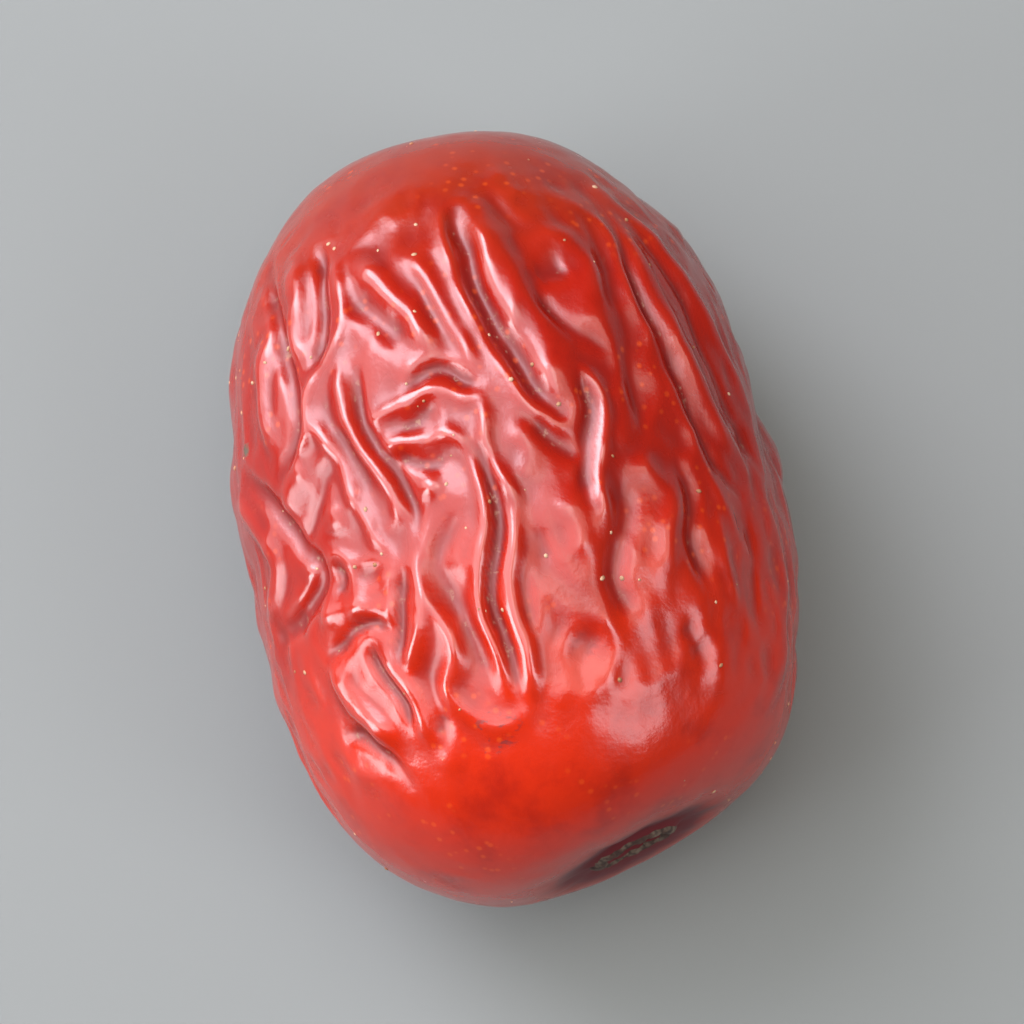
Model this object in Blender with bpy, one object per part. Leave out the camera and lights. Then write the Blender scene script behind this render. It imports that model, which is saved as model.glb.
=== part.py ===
"""One dried jujube, lying on its side on a small flat spot.

The fruit is one solid. Its long axis runs along X with the stem end at +X, Z is up, and the origin is
under its middle, on the flat spot that it rests on. Shapes are worked out in millimetres and the finished
mesh is written in metres.
"""

import math
import random
from collections import namedtuple

import bmesh
import bpy
import numpy as np
from mathutils import Vector, kdtree, noise

METRES = 0.001

# Driving sizes of the plump body, before the skin wrinkles.
HALF_LENGTH = 21.2
HALF_WIDTH = 14.5
HALF_HEIGHT = 13.9

# How full each end is. An ellipse has 2, and a higher number is fuller.
STEM_END_FULLNESS = 2.75
STYLE_END_FULLNESS = 2.3

# The stem end is cut off a little askew, towards +Y, and looks up a little.
STEM_TURN = math.radians(21)
STEM_RISE = math.radians(6)
STEM_SIDESTEP = 2.8  # how far the middle of that end lies to +Y
STEM_CUT = 20.1  # where the slanting cut crosses the axis
STEM_CUT_SHARE = 0.85  # how much of what is past the cut is drawn back
CUT_BLEND = 1.5

# The hollow round the stem scar, and the corky ring of the scar.
HOLLOW_RADIUS = 4.6
HOLLOW_DEPTH = 1.5
SCAR_RADIUS = 1.45
SCAR_RING_HEIGHT = 0.55
SCAR_RING_WIDTH = 0.42
SCAR_STRETCH = 1.45  # the scar is an oval, longer across than it is high
PUCKER_COUNT = 2.6
PUCKER_HEIGHT = 0.2
PUCKER_SEED = 2.3
PUCKER_REACH = 1.2

# The dimple round the dry style at the other end.
STYLE_DIRECTION = (-1.0, 0.03, -0.05)
DIMPLE_RADIUS = 2.2
DIMPLE_DEPTH = 0.8
STYLE_RADIUS = 0.5
STYLE_HEIGHT = 0.5

# The flat spot under the fruit.
FLAT_DEPTH = 0.55
PRESSED_DEPTH = 3.2  # the wrinkles are whole again this far above the lowest point of the plump body

# Broad dents, small facets, fine crinkles, and the wobble that keeps the folds from being even.
DENT_SIZE = 9.0
DENT_HEIGHT = 0.45
DENT_SEED = 3.1
FACET_SIZE = 3.4
FACET_HEIGHT = 0.14
FACET_SEED = 7.7
CRINKLE_SIZE = 1.6
CRINKLE_HEIGHT = 0.07
CRINKLE_STRETCH = 1.8
WOBBLE_SIZE = 3.0
WOBBLE_REACH = 0.3

# The wrinkles fade between these places along the axis, where the ends begin.
STEM_END_SMOOTH = (11.0, 15.5)
STEM_END_CALM = 0.85
STYLE_END_SMOOTH = (-15.5, -19.0)
STYLE_END_CALM = 0.8

# The long folds that the seeded rule lays over the sides and the underside.
WILD_SEED = 11
WILD_TRIES = 2600
WILD_STEP = 0.7
WILD_GAP = 2.0
WILD_REACH = (9.0, 22.0)
WILD_SHORTEST = 7.0
WILD_BOUNDS = (-18.0, 15.5)
WILD_BELOW = (4.0, -2.0)  # they are whole below the second height and gone above the first
RIDGE_SHARE = 0.55
WILD_HEIGHT = (0.3, 0.45)
WILD_BREADTH = (0.8, 1.3)
WILD_HEADING = 0.4  # how far the folds start off the fruit's axis, and how they bend and waver
WILD_BEND = 0.06
WILD_WAVER = 0.15
LEAST_RADIUS = 4.0

# The swollen skin between those folds, with sharp creases where the swellings meet.
SWELL_SIZE = 3.3
SWELL_HEIGHT = 0.9
SWELL_SEED = 1.9
SWELL_LEVEL = 0.2
SWELL_ROUNDING = 0.05
SWELL_STRETCH = 2.3  # how much longer along the fruit than across it
SWELL_WINDING = 1.5
SWELL_WINDING_SIZE = 5.5
SWELL_CLEAR = (0.8, 3.0)  # they rise over this distance from the given folds
RIPPLE_SIZE = 1.7
RIPPLE_HEIGHT = 0.35
RIPPLE_SEED = 5.3
RIPPLE_ROUNDING = 0.06

# The grid on each side of the starting cube, and the faces left after thinning out.
CUTS = 96
FACES_KEPT = 11400

SKIN_COLOUR = (0.42, 0.028, 0.012, 1.0)
SKIN_ROUGHNESS = 0.35

# The folds on the upper side are placed as seen from this far off the vertical, towards the stem end.
SIGHT = math.radians(10)

SIGHT_ROUNDS = 12

# The cross sections that a fold can have. Three of them stand out of the skin and three go in.
RIB = "flat on top with steep sides"
SWELL = "rounded"
CREST = "sharp on top with hollow sides"
FURROW = "a sharp crease between swollen sides"
TROUGH = "flat at the bottom with steep sides"
DIP = "a rounded hollow"
SINKING = (FURROW, TROUGH, DIP)

# How the cross sections fall off, in half widths from the fold's line.
SKIRT_SHARE = 0.15
SKIRT_BREADTH = 2.2
SHARP_FALL = 1.3
SHARP_TIP = 0.25
FOLD_REACH = 4.5

# A fold is this much of its height at its two ends, and grows to the whole of it at this rate.
FADE_START = 0.35
FADE_RATE = 4.5

# height is how far the fold stands out or sinks in, and breadth is its half width. route holds
# (to +Y, to +X) from the middle of the fruit as it is seen from above.
Fold = namedtuple("Fold", "shape height breadth route")

# A fold once it lies on the body, with its route as rows of points.
LaidFold = namedtuple("LaidFold", "shape height breadth points")

HAIRPIN = [
    Fold(RIB, 0.48, 1.20, [(1.8, -16.2), (2.3, -14.0), (3.1, -11.0), (4.0, -8.0), (4.3, -5.5)]),
    Fold(TROUGH, 0.60, 0.62, [
        (0.8, -16.4), (0.8, -14.0), (1.3, -11.0), (2.2, -8.0), (2.9, -6.0), (3.6, -4.7),
    ]),
    Fold(CREST, 0.35, 0.45, [
        (1.8, -17.3), (0.4, -16.7), (-0.1, -15.4), (-0.1, -14.0), (0.2, -12.0), (0.6, -10.0),
        (1.2, -8.0), (2.1, -6.0), (3.2, -4.3), (4.1, -4.1), (4.8, -5.0),
    ]),
    Fold(SWELL, 0.35, 0.90, [
        (4.2, -14.3), (6.0, -13.8), (6.9, -12.0), (6.6, -10.0), (7.2, -8.3),
    ]),
    Fold(DIP, 0.45, 0.80, [(4.3, -12.3), (5.7, -12.4)]),
    Fold(FURROW, 0.40, 0.45, [(4.2, -11.2), (5.0, -9.7), (6.0, -8.5), (6.9, -7.5)]),
    Fold(CREST, 0.18, 0.60, [(3.6, -18.3), (4.3, -16.6)]),
    Fold(DIP, 0.12, 0.60, [(2.6, -17.5), (3.5, -15.5), (4.2, -14.9)]),
    Fold(DIP, 0.35, 0.80, [(7.9, -13.0), (8.3, -9.0), (8.2, -5.0), (7.6, -3.0)]),
]

RIGHT_SIDE = [
    Fold(RIB, 0.42, 0.75, [
        (9.2, -13.4), (9.9, -11.0), (10.6, -8.0), (11.3, -5.0), (12.0, -2.2), (12.8, 0.2),
    ]),
    Fold(FURROW, 0.50, 0.38, [
        (8.9, -13.6), (9.5, -10.0), (10.2, -6.5), (10.8, -3.0), (11.6, 0.0), (12.4, 1.6),
    ]),
    Fold(CREST, 0.30, 0.50, [
        (6.6, -16.6), (8.4, -13.8), (9.0, -10.0), (9.7, -6.0), (10.4, -2.4), (11.0, 1.0), (11.5, 4.0),
    ]),
    Fold(SWELL, 0.38, 0.80, [
        (8.6, -16.4), (10.9, -12.8), (12.4, -9.0), (13.4, -5.6), (14.0, -2.0),
    ]),
    Fold(FURROW, 0.38, 0.45, [
        (10.0, -13.5), (11.6, -9.8), (12.3, -6.0), (13.0, -3.0), (13.6, 0.5),
    ]),
    Fold(SWELL, 0.30, 0.80, [(13.9, -2.5), (13.5, 2.0), (13.6, 6.0), (12.7, 10.0), (11.0, 14.0)]),
    Fold(FURROW, 0.28, 0.50, [(12.4, 3.0), (12.2, 6.0), (11.6, 9.0)]),
]

UPPER_LEFT = [
    Fold(RIB, 0.42, 0.70, [
        (-4.9, -15.1), (-4.0, -13.6), (-3.2, -12.2), (-2.5, -10.9), (-1.9, -9.7),
    ]),
    Fold(DIP, 0.35, 0.80, [(-5.3, -13.4), (-4.5, -11.8), (-3.6, -10.4)]),
    Fold(SWELL, 0.32, 0.50, [
        (-1.9, -14.6), (-1.3, -12.6), (-0.8, -10.8), (-0.1, -9.0), (0.4, -8.2),
    ]),
    Fold(DIP, 0.20, 0.40, [(-2.4, -14.0), (-1.7, -12.0), (-1.2, -10.2)]),
    Fold(CREST, 0.42, 0.45, [
        (-6.0, -15.2), (-6.0, -13.4), (-6.6, -11.6), (-7.6, -10.4), (-8.6, -9.5), (-9.2, -8.2),
        (-9.3, -6.8), (-10.0, -5.8), (-10.8, -5.0),
    ]),
    Fold(TROUGH, 0.50, 0.45, [
        (-6.9, -16.2), (-7.0, -14.4), (-7.3, -12.6), (-7.9, -11.0), (-8.4, -10.0),
    ]),
    Fold(RIB, 0.42, 0.70, [(-8.4, -15.8), (-8.5, -13.6), (-9.0, -11.6), (-8.9, -10.4)]),
    Fold(TROUGH, 0.50, 0.50, [
        (-9.6, -16.0), (-9.8, -13.6), (-9.9, -11.4), (-9.8, -9.4), (-9.9, -7.4), (-10.6, -5.8),
        (-11.4, -4.8),
    ]),
    Fold(RIB, 0.42, 0.65, [(-10.4, -12.2), (-11.0, -10.4), (-11.4, -8.4), (-11.4, -6.2)]),
]

LEFT_EDGE = [
    Fold(RIB, 0.42, 0.70, [
        (-13.9, -4.2), (-13.3, -2.6), (-12.8, -0.8), (-13.0, 0.8), (-13.6, 3.0),
    ]),
    Fold(TROUGH, 0.50, 0.55, [
        (-13.2, -5.2), (-12.4, -3.6), (-11.8, -2.0), (-11.2, -0.7), (-10.6, 0.2), (-11.0, 1.6),
        (-12.2, 2.8), (-13.2, 3.6),
    ]),
    Fold(SWELL, 0.35, 0.80, [(-10.0, -5.2), (-11.2, -3.8), (-11.4, -2.6)]),
    Fold(FURROW, 0.48, 0.36, [(-8.7, -4.8), (-9.4, -3.8), (-10.3, -2.2), (-10.9, -1.3)]),
    Fold(SWELL, 0.30, 0.80, [(-9.0, -3.0), (-9.3, -1.4)]),
]

WINDING_MIDDLE = [
    Fold(CREST, 0.52, 0.42, [
        (-6.9, -10.0), (-7.2, -8.5), (-7.2, -7.0), (-6.9, -5.3), (-6.4, -3.8), (-5.9, -2.4),
        (-6.0, -1.3), (-6.5, -0.8),
    ]),
    Fold(TROUGH, 0.48, 0.36, [
        (-6.1, -9.3), (-6.4, -7.5), (-6.2, -6.0), (-5.7, -4.4), (-5.2, -3.0), (-4.9, -1.6),
        (-5.1, -0.5),
    ]),
    Fold(DIP, 0.35, 0.50, [(-7.9, -9.0), (-8.2, -7.5), (-7.7, -6.0), (-7.2, -4.3), (-6.8, -2.4)]),
    Fold(CREST, 0.45, 0.40, [
        (-9.2, -8.0), (-9.0, -7.0), (-8.5, -6.0), (-8.2, -5.0), (-8.1, -3.8), (-7.8, -2.6),
        (-7.5, -1.4), (-7.3, -0.4), (-6.3, 1.0),
    ]),
    Fold(TROUGH, 0.45, 0.40, [
        (-3.9, -7.8), (-3.2, -8.2), (-2.4, -8.5), (-1.6, -8.3), (-1.0, -7.7), (-0.2, -7.4),
    ]),
    Fold(CREST, 0.50, 0.40, [
        (-6.0, -6.7), (-5.2, -6.8), (-4.4, -7.0), (-3.6, -7.3), (-2.6, -7.5), (-1.8, -7.2),
        (-1.1, -6.8), (-0.2, -6.6),
    ]),
    Fold(CREST, 0.45, 0.40, [
        (-0.2, -6.6), (-0.1, -5.6), (-0.4, -4.2), (-0.3, -2.8), (0.3, -1.6), (0.7, -0.6),
    ]),
    Fold(CREST, 0.22, 0.45, [(-4.0, -8.8), (-2.8, -9.2), (-1.5, -8.9), (-0.3, -8.1)]),
    Fold(DIP, 0.35, 0.34, [(-4.8, -5.7), (-3.9, -5.9), (-3.3, -6.3), (-2.9, -6.5)]),
    Fold(CREST, 0.55, 0.40, [
        (-5.9, -4.9), (-5.2, -5.1), (-4.2, -5.1), (-3.2, -5.0), (-2.4, -5.1), (-1.8, -4.7),
        (-1.6, -4.0),
    ]),
    Fold(CREST, 0.58, 0.40, [
        (-1.6, -4.0), (-1.4, -3.0), (-1.1, -1.5), (-1.4, 0.0), (-1.9, 1.4), (-2.4, 2.8), (-2.7, 4.0),
        (-2.6, 5.4), (-2.3, 7.0), (-2.1, 8.6),
    ]),
    Fold(TROUGH, 0.38, 0.36, [(-5.1, -4.4), (-4.2, -3.9), (-3.2, -3.7), (-2.6, -4.1)]),
    Fold(SWELL, 0.38, 0.55, [(-3.8, -2.9), (-3.4, -2.3)]),
    Fold(TROUGH, 0.50, 0.38, [
        (-0.8, -3.8), (-0.7, -2.4), (-0.6, -1.2), (-0.7, 0.0), (-1.0, 1.4), (-1.6, 3.0), (-1.9, 4.4),
        (-1.8, 6.0), (-1.6, 8.2),
    ]),
    Fold(RIB, 0.42, 0.50, [
        (0.1, -0.2), (-0.2, 1.0), (-0.5, 2.4), (-0.7, 4.0), (-0.8, 5.6), (-0.7, 7.2), (-0.8, 8.6),
        (-1.1, 9.6),
    ]),
    Fold(DIP, 0.50, 0.65, [
        (-2.6, -0.8), (-3.6, 0.4), (-4.2, 1.8), (-4.0, 3.6), (-3.7, 5.2), (-3.3, 7.0), (-3.2, 8.6),
    ]),
    Fold(CREST, 0.48, 0.50, [
        (-5.3, 0.9), (-5.5, 2.2), (-5.4, 3.4), (-5.0, 4.6), (-4.5, 5.8), (-4.5, 7.0), (-5.2, 8.0),
        (-4.9, 9.0), (-4.1, 10.0), (-3.1, 10.6), (-2.1, 10.6), (-1.2, 10.0),
    ]),
    Fold(SWELL, 0.45, 0.60, [(-5.5, 2.4), (-5.8, 4.0), (-6.4, 5.6), (-7.0, 6.8)]),
    Fold(TROUGH, 0.48, 0.40, [(-6.2, 1.8), (-6.7, 3.0), (-7.0, 4.6), (-7.2, 6.0)]),
    Fold(CREST, 0.38, 0.35, [(-9.2, 0.0), (-8.5, 0.5), (-7.7, 0.6), (-7.0, 0.9), (-6.3, 1.2)]),
    Fold(CREST, 0.36, 0.35, [(-8.8, 2.2), (-7.6, 1.9), (-6.4, 1.3)]),
    Fold(FURROW, 0.30, 0.30, [(-8.6, 1.2), (-7.4, 1.3)]),
]

LOWER_LEFT = [
    Fold(CREST, 0.38, 0.32, [(-10.2, 0.2), (-9.5, -0.2), (-9.0, 0.5), (-9.0, 1.5), (-9.6, 2.1)]),
    Fold(FURROW, 0.38, 0.30, [(-9.8, 0.5), (-9.5, 1.1), (-9.9, 1.8)]),
    Fold(SWELL, 0.42, 0.80, [(-10.9, 3.6), (-10.4, 2.7), (-9.4, 2.6), (-8.2, 2.8)]),
    Fold(TROUGH, 0.42, 0.36, [(-10.9, 4.9), (-10.1, 4.5), (-9.3, 3.9), (-8.4, 3.8), (-7.6, 4.3)]),
    Fold(RIB, 0.50, 0.80, [(-10.5, 5.4), (-10.7, 6.6), (-10.1, 8.0), (-9.3, 9.3), (-8.6, 10.5)]),
    Fold(TROUGH, 0.48, 0.36, [(-8.9, 5.0), (-8.8, 6.0), (-8.3, 7.2), (-7.8, 8.4), (-7.6, 9.8)]),
    Fold(SWELL, 0.40, 0.60, [(-8.0, 5.2), (-7.8, 6.6), (-7.2, 8.0), (-7.0, 9.6), (-6.5, 11.0)]),
    Fold(SWELL, 0.40, 0.80, [(-6.3, 11.7), (-5.5, 12.5)]),
    Fold(TROUGH, 0.48, 0.55, [
        (-11.0, 9.3), (-10.2, 9.7), (-9.4, 10.8), (-8.8, 12.2), (-8.3, 13.6),
    ]),
    Fold(SWELL, 0.30, 0.80, [(-11.3, 10.8), (-10.0, 12.4), (-9.2, 14.4)]),
    Fold(FURROW, 0.25, 0.30, [(-4.4, 11.3), (-3.4, 11.6), (-2.6, 11.2)]),
    Fold(DIP, 0.30, 0.50, [(-5.9, 9.4), (-6.0, 10.6)]),
]

RIGHT_OF_MIDDLE = [
    Fold(SWELL, 0.32, 0.80, [(1.4, -4.8), (1.7, -3.0), (1.3, -1.6)]),
    Fold(DIP, 0.45, 0.60, [(2.5, -4.6), (3.3, -3.2), (4.3, -2.3)]),
    Fold(CREST, 0.50, 0.55, [
        (5.0, -7.2), (5.9, -6.0), (6.1, -4.6), (5.7, -3.0), (5.1, -1.6), (4.8, -0.3), (4.9, 0.6),
        (4.4, 1.2),
    ]),
    Fold(TROUGH, 0.48, 0.48, [(5.2, -6.1), (5.4, -4.6), (4.8, -3.0), (4.3, -1.6), (4.1, 0.0)]),
    Fold(SWELL, 0.30, 0.90, [(7.0, -5.6), (7.2, -3.8), (6.6, -2.0)]),
    Fold(SWELL, 0.32, 0.80, [(3.0, -0.4), (3.1, 1.2), (3.1, 2.8)]),
    Fold(DIP, 0.22, 0.50, [(1.2, 0.9), (1.3, 2.6)]),
    Fold(DIP, 0.30, 0.85, [(1.9, 7.0), (2.8, 8.0)]),
    Fold(SWELL, 0.22, 0.50, [(3.3, 5.9), (4.0, 7.2), (3.9, 8.6), (3.0, 9.8), (1.6, 10.2)]),
    Fold(SWELL, 0.18, 0.45, [(0.8, 7.5), (1.8, 6.4)]),
    Fold(DIP, 0.50, 0.75, [(6.2, -0.8), (6.0, 1.0), (5.2, 3.0), (4.8, 4.6), (5.2, 6.4)]),
    Fold(SWELL, 0.45, 0.75, [(6.9, -1.8), (7.9, -0.4), (8.4, 0.8), (8.1, 2.2), (7.5, 3.6), (7.0, 4.8)]),
    Fold(DIP, 0.48, 0.55, [(9.0, -1.4), (9.6, 1.0), (9.2, 3.4), (9.3, 6.0)]),
    Fold(CREST, 0.30, 0.50, [(10.6, 2.0), (10.4, 4.6), (10.9, 7.6)]),
    Fold(DIP, 0.25, 0.50, [(7.9, 7.6), (8.4, 9.6)]),
    Fold(SWELL, 0.20, 0.70, [(9.6, 8.6), (8.8, 12.0)]),
]

UPPER_FOLDS = HAIRPIN + RIGHT_SIDE + UPPER_LEFT + LEFT_EDGE + WINDING_MIDDLE + LOWER_LEFT + RIGHT_OF_MIDDLE


def ramp(value, start, end):
    """0 before the start and 1 past the end, with an eased rise between."""
    share = np.clip((value - start) / (end - start), 0, 1)
    return share * share * (3 - 2 * share)


def smooth_most(a, b, blend=0.08):
    """The greater of two arrays, rounded where they are nearly alike."""
    share = np.clip(0.5 + 0.5 * (a - b) / blend, 0, 1)
    return b + (a - b) * share + blend * share * (1 - share)


def noise_at(points, size, seed):
    """Smooth noise from about -1 to 1, whose lumps are about this size."""
    shift = Vector((seed, seed * 1.7, -seed))
    return np.array([noise.noise(Vector(point) + shift) for point in points / size])


def winding(points, size):
    """Smooth sideways shifts that change over about this size."""
    return np.array([noise.noise_vector(Vector(point)) for point in points / size])


def fullness(x):
    """How full the body is on this side of its middle."""
    return np.where(x > 0, STEM_END_FULLNESS, STYLE_END_FULLNESS)


def body_surface(direction):
    """The plump body's point in each of the given unit directions, as rows of millimetres."""
    along = np.abs(direction[:, 0] / HALF_LENGTH)
    across = np.hypot(direction[:, 1] / HALF_WIDTH, direction[:, 2] / HALF_HEIGHT)
    power = fullness(direction[:, 0])
    reach = (along**power + across**power) ** (-1 / power)
    return direction * reach[:, None]


def girth_at(x):
    """The body's half width at this place along the axis, as a share of its greatest one."""
    power = float(fullness(x))
    return (1 - min(abs(x) / HALF_LENGTH, 0.999) ** power) ** (1 / power)


def on_side(x, angle):
    """The body's point at this place along the axis, this far round from the top."""
    girth = girth_at(x)
    return Vector((x, HALF_WIDTH * girth * math.sin(angle), HALF_HEIGHT * girth * math.cos(angle)))


def seen_from_above(to_right, to_stem):
    """The point of the upper side that is seen at that place of the sight plane."""
    height = HALF_HEIGHT
    for _ in range(SIGHT_ROUNDS):
        x = (to_stem + height * math.sin(SIGHT)) / math.cos(SIGHT)
        height = HALF_HEIGHT * math.sqrt(max(girth_at(x) ** 2 - (to_right / HALF_WIDTH) ** 2, 0.0))
    return Vector((x, to_right, height))


def smooth_route(corners, spacing=0.14):
    """Points along a smooth curve through the corners."""
    ends = [corners[0] * 2 - corners[1], *corners, corners[-1] * 2 - corners[-2]]
    points = []
    for a, b, c, d in zip(ends, ends[1:], ends[2:], ends[3:]):
        count = max(2, round((c - b).length / spacing))
        for k in range(count):
            t = k / count
            turn = (2 * a - 5 * b + 4 * c - d) * t**2 + (3 * b - a - 3 * c + d) * t**3
            points.append(0.5 * (2 * b + (c - a) * t + turn))
    points.append(corners[-1])
    return np.array(points)


def upper_folds():
    """The folds of the upper side, laid on the body."""
    folds = []
    for fold in UPPER_FOLDS:
        corners = [seen_from_above(*place) for place in fold.route]
        folds.append(LaidFold(fold.shape, fold.height, fold.breadth, smooth_route(corners)))
    return folds


def wander(rng, held):
    """One winding line along the body, which stops where it comes near the points already held."""
    x = rng.uniform(*WILD_BOUNDS)
    angle = rng.uniform(-math.pi, math.pi)
    heading = rng.gauss(0, WILD_HEADING) + (math.pi if rng.random() < 0.5 else 0)
    bend = rng.gauss(0, WILD_BEND)
    reach = rng.uniform(*WILD_REACH)
    points = []
    while len(points) * WILD_STEP < reach and WILD_BOUNDS[0] <= x <= WILD_BOUNDS[1]:
        point = on_side(x, angle)
        if np.min(np.linalg.norm(held - np.array(point), axis=1)) < WILD_GAP:
            break
        points.append(point)
        heading += bend + rng.gauss(0, WILD_WAVER)
        x += WILD_STEP * math.cos(heading)
        angle += WILD_STEP * math.sin(heading) / max(math.hypot(point.y, point.z), LEAST_RADIUS)
    return points


def wild_folds(taken):
    """Folds laid by rule where the given ones leave room, mostly along the fruit."""
    rng = random.Random(WILD_SEED)
    held = np.concatenate([fold.points for fold in taken])
    folds = []
    for _ in range(WILD_TRIES):
        corners = wander(rng, held)
        if len(corners) * WILD_STEP < WILD_SHORTEST:
            continue
        route = smooth_route(corners)
        held = np.concatenate([held, route])
        shape = SWELL if rng.random() < RIDGE_SHARE else FURROW
        folds.append(LaidFold(shape, rng.uniform(*WILD_HEIGHT), rng.uniform(*WILD_BREADTH), route))
    return folds


def profile(shape, gap):
    """The share of its height that a fold has at this many half widths from its line."""
    if shape in (RIB, TROUGH):
        skirt = SKIRT_SHARE * np.exp(-((gap / SKIRT_BREADTH) ** 2))
        return (1 + SKIRT_SHARE) * np.exp(-(gap**3)) - skirt
    if shape in (CREST, FURROW):
        return np.exp(-SHARP_FALL * (np.hypot(gap, SHARP_TIP) - SHARP_TIP))
    return np.exp(-(gap**2))


def fold_relief(points, folds):
    """The height that the folds give each point of the body."""
    crest = np.zeros(len(points))
    furrow = np.zeros(len(points))
    for fold in folds:
        reach = FOLD_REACH * fold.breadth
        low = fold.points.min(axis=0) - reach
        high = fold.points.max(axis=0) + reach
        near = np.nonzero(np.all((points > low) & (points < high), axis=1))[0]
        if not len(near):
            continue
        gaps = np.linalg.norm(points[near, None] - fold.points[None], axis=2)
        nearest = gaps.argmin(axis=1)
        gap = gaps[np.arange(len(near)), nearest] / fold.breadth
        along = nearest / (len(fold.points) - 1)
        fade = np.minimum(1, FADE_START + FADE_RATE * np.minimum(along, 1 - along))
        amount = fold.height * fade * profile(fold.shape, gap)
        side = furrow if fold.shape in SINKING else crest
        side[near] = smooth_most(side[near], amount)
    return crest - furrow


def crinkles(points):
    """Small sharp creases between the folds, drawn out along the fruit."""
    drawn = points / np.array([CRINKLE_STRETCH, 1.0, 1.0]) / CRINKLE_SIZE
    return np.array([0.5 - 2 * abs(noise.fractal(Vector(point), 1.0, 2.0, 2)) for point in drawn])


def swellings(points):
    """The swollen skin between the seeded folds, drawn out along the fruit and winding."""
    wound = points + SWELL_WINDING * winding(points, SWELL_WINDING_SIZE)
    drawn = wound / np.array([SWELL_STRETCH, 1.0, 1.0])
    swell = SWELL_HEIGHT * (np.hypot(noise_at(drawn, SWELL_SIZE, SWELL_SEED), SWELL_ROUNDING) - SWELL_LEVEL)
    ripple = SWELL_LEVEL - np.hypot(noise_at(drawn, RIPPLE_SIZE, RIPPLE_SEED), RIPPLE_ROUNDING)
    return swell + RIPPLE_HEIGHT * ripple


def distance_to(points, folds):
    """How far each point is from the nearest of these folds."""
    rows = np.concatenate([fold.points for fold in folds])
    tree = kdtree.KDTree(len(rows))
    for index, row in enumerate(rows):
        tree.insert(row, index)
    tree.balance()
    return np.array([tree.find(point)[2] for point in points])


def stem_axis():
    """The way that the stem end faces."""
    level = math.cos(STEM_RISE)
    return np.array([level * math.cos(STEM_TURN), level * math.sin(STEM_TURN), math.sin(STEM_RISE)])


def stem_seat():
    """The middle of the slanting cut."""
    return np.array([STEM_CUT, STEM_SIDESTEP, 0.0])


def cut_askew(points):
    """The points with those past the slanting cut drawn back to it, by an even blend."""
    past = (points - stem_seat()) @ stem_axis()
    drawn = CUT_BLEND * np.logaddexp(0, past / CUT_BLEND)
    return points - STEM_CUT_SHARE * drawn[:, None] * stem_axis()


def stem_end_relief(points):
    """The hollow at the stem end, with its faint puckers and the raised ring of the scar."""
    side = np.array([-math.sin(STEM_TURN), math.cos(STEM_TURN), 0.0])
    up = np.cross(stem_axis(), side)
    off = points - stem_seat()
    across = off @ side
    upward = off @ up
    far = np.where(points[:, 0] > 0, 0.0, HALF_LENGTH)
    away = np.hypot(across, upward) + far
    gap = away / HOLLOW_RADIUS
    turned = np.column_stack([across, upward, gap]) / np.maximum(away, 0.01)[:, None]
    pucker = PUCKER_HEIGHT * noise_at(turned, 1 / PUCKER_COUNT, PUCKER_SEED)
    pucker = pucker * gap**2 * np.exp(-((gap / PUCKER_REACH) ** 4))
    oval = np.hypot(across / SCAR_STRETCH, upward) + far
    ring = SCAR_RING_HEIGHT * np.exp(-(((oval - SCAR_RADIUS) / SCAR_RING_WIDTH) ** 2))
    return pucker + ring - HOLLOW_DEPTH * np.exp(-(gap**2))


def style_end_relief(points):
    """The dimple and the dry style at the end away from the stem."""
    seat = body_surface(np.array([STYLE_DIRECTION]))
    gap = np.linalg.norm(points - seat, axis=1)
    dimple = -DIMPLE_DEPTH * np.exp(-((gap / DIMPLE_RADIUS) ** 2))
    style = STYLE_HEIGHT * np.exp(-((gap / STYLE_RADIUS) ** 2))
    return dimple + style


def relief(points):
    """How far the skin stands out of the plump body at each of its points."""
    given = upper_folds()
    wobbled = points + WOBBLE_REACH * winding(points, WOBBLE_SIZE)
    swell = swellings(points) * ramp(distance_to(points, given), *SWELL_CLEAR)
    wild = fold_relief(wobbled, wild_folds(given)) + swell
    facets = FACET_HEIGHT * noise_at(points, FACET_SIZE, FACET_SEED) + CRINKLE_HEIGHT * crinkles(points)
    wrinkled = fold_relief(wobbled, given) + wild * ramp(points[:, 2], *WILD_BELOW) + facets
    stem_calm = STEM_END_CALM * ramp(points[:, 0], *STEM_END_SMOOTH)
    style_calm = STYLE_END_CALM * ramp(points[:, 0], *STYLE_END_SMOOTH)
    dents = DENT_HEIGHT * noise_at(points, DENT_SIZE, DENT_SEED)
    pressed = ramp(points[:, 2], FLAT_DEPTH - HALF_HEIGHT, PRESSED_DEPTH - HALF_HEIGHT)
    skin = pressed * (dents + wrinkled * (1 - stem_calm - style_calm))
    return skin + stem_end_relief(points) + style_end_relief(points)


def round_cube(cuts):
    """A cube cut into a grid and blown up to a ball, whose faces are all nearly as large."""
    mesh = bmesh.new()
    bmesh.ops.create_cube(mesh, size=2.0)
    bmesh.ops.subdivide_edges(mesh, edges=mesh.edges, cuts=cuts, use_grid_fill=True)
    for vertex in mesh.verts:
        spread = [math.tan(part * math.pi / 4) for part in vertex.co]
        vertex.co = Vector(spread).normalized()
    return mesh


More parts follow.
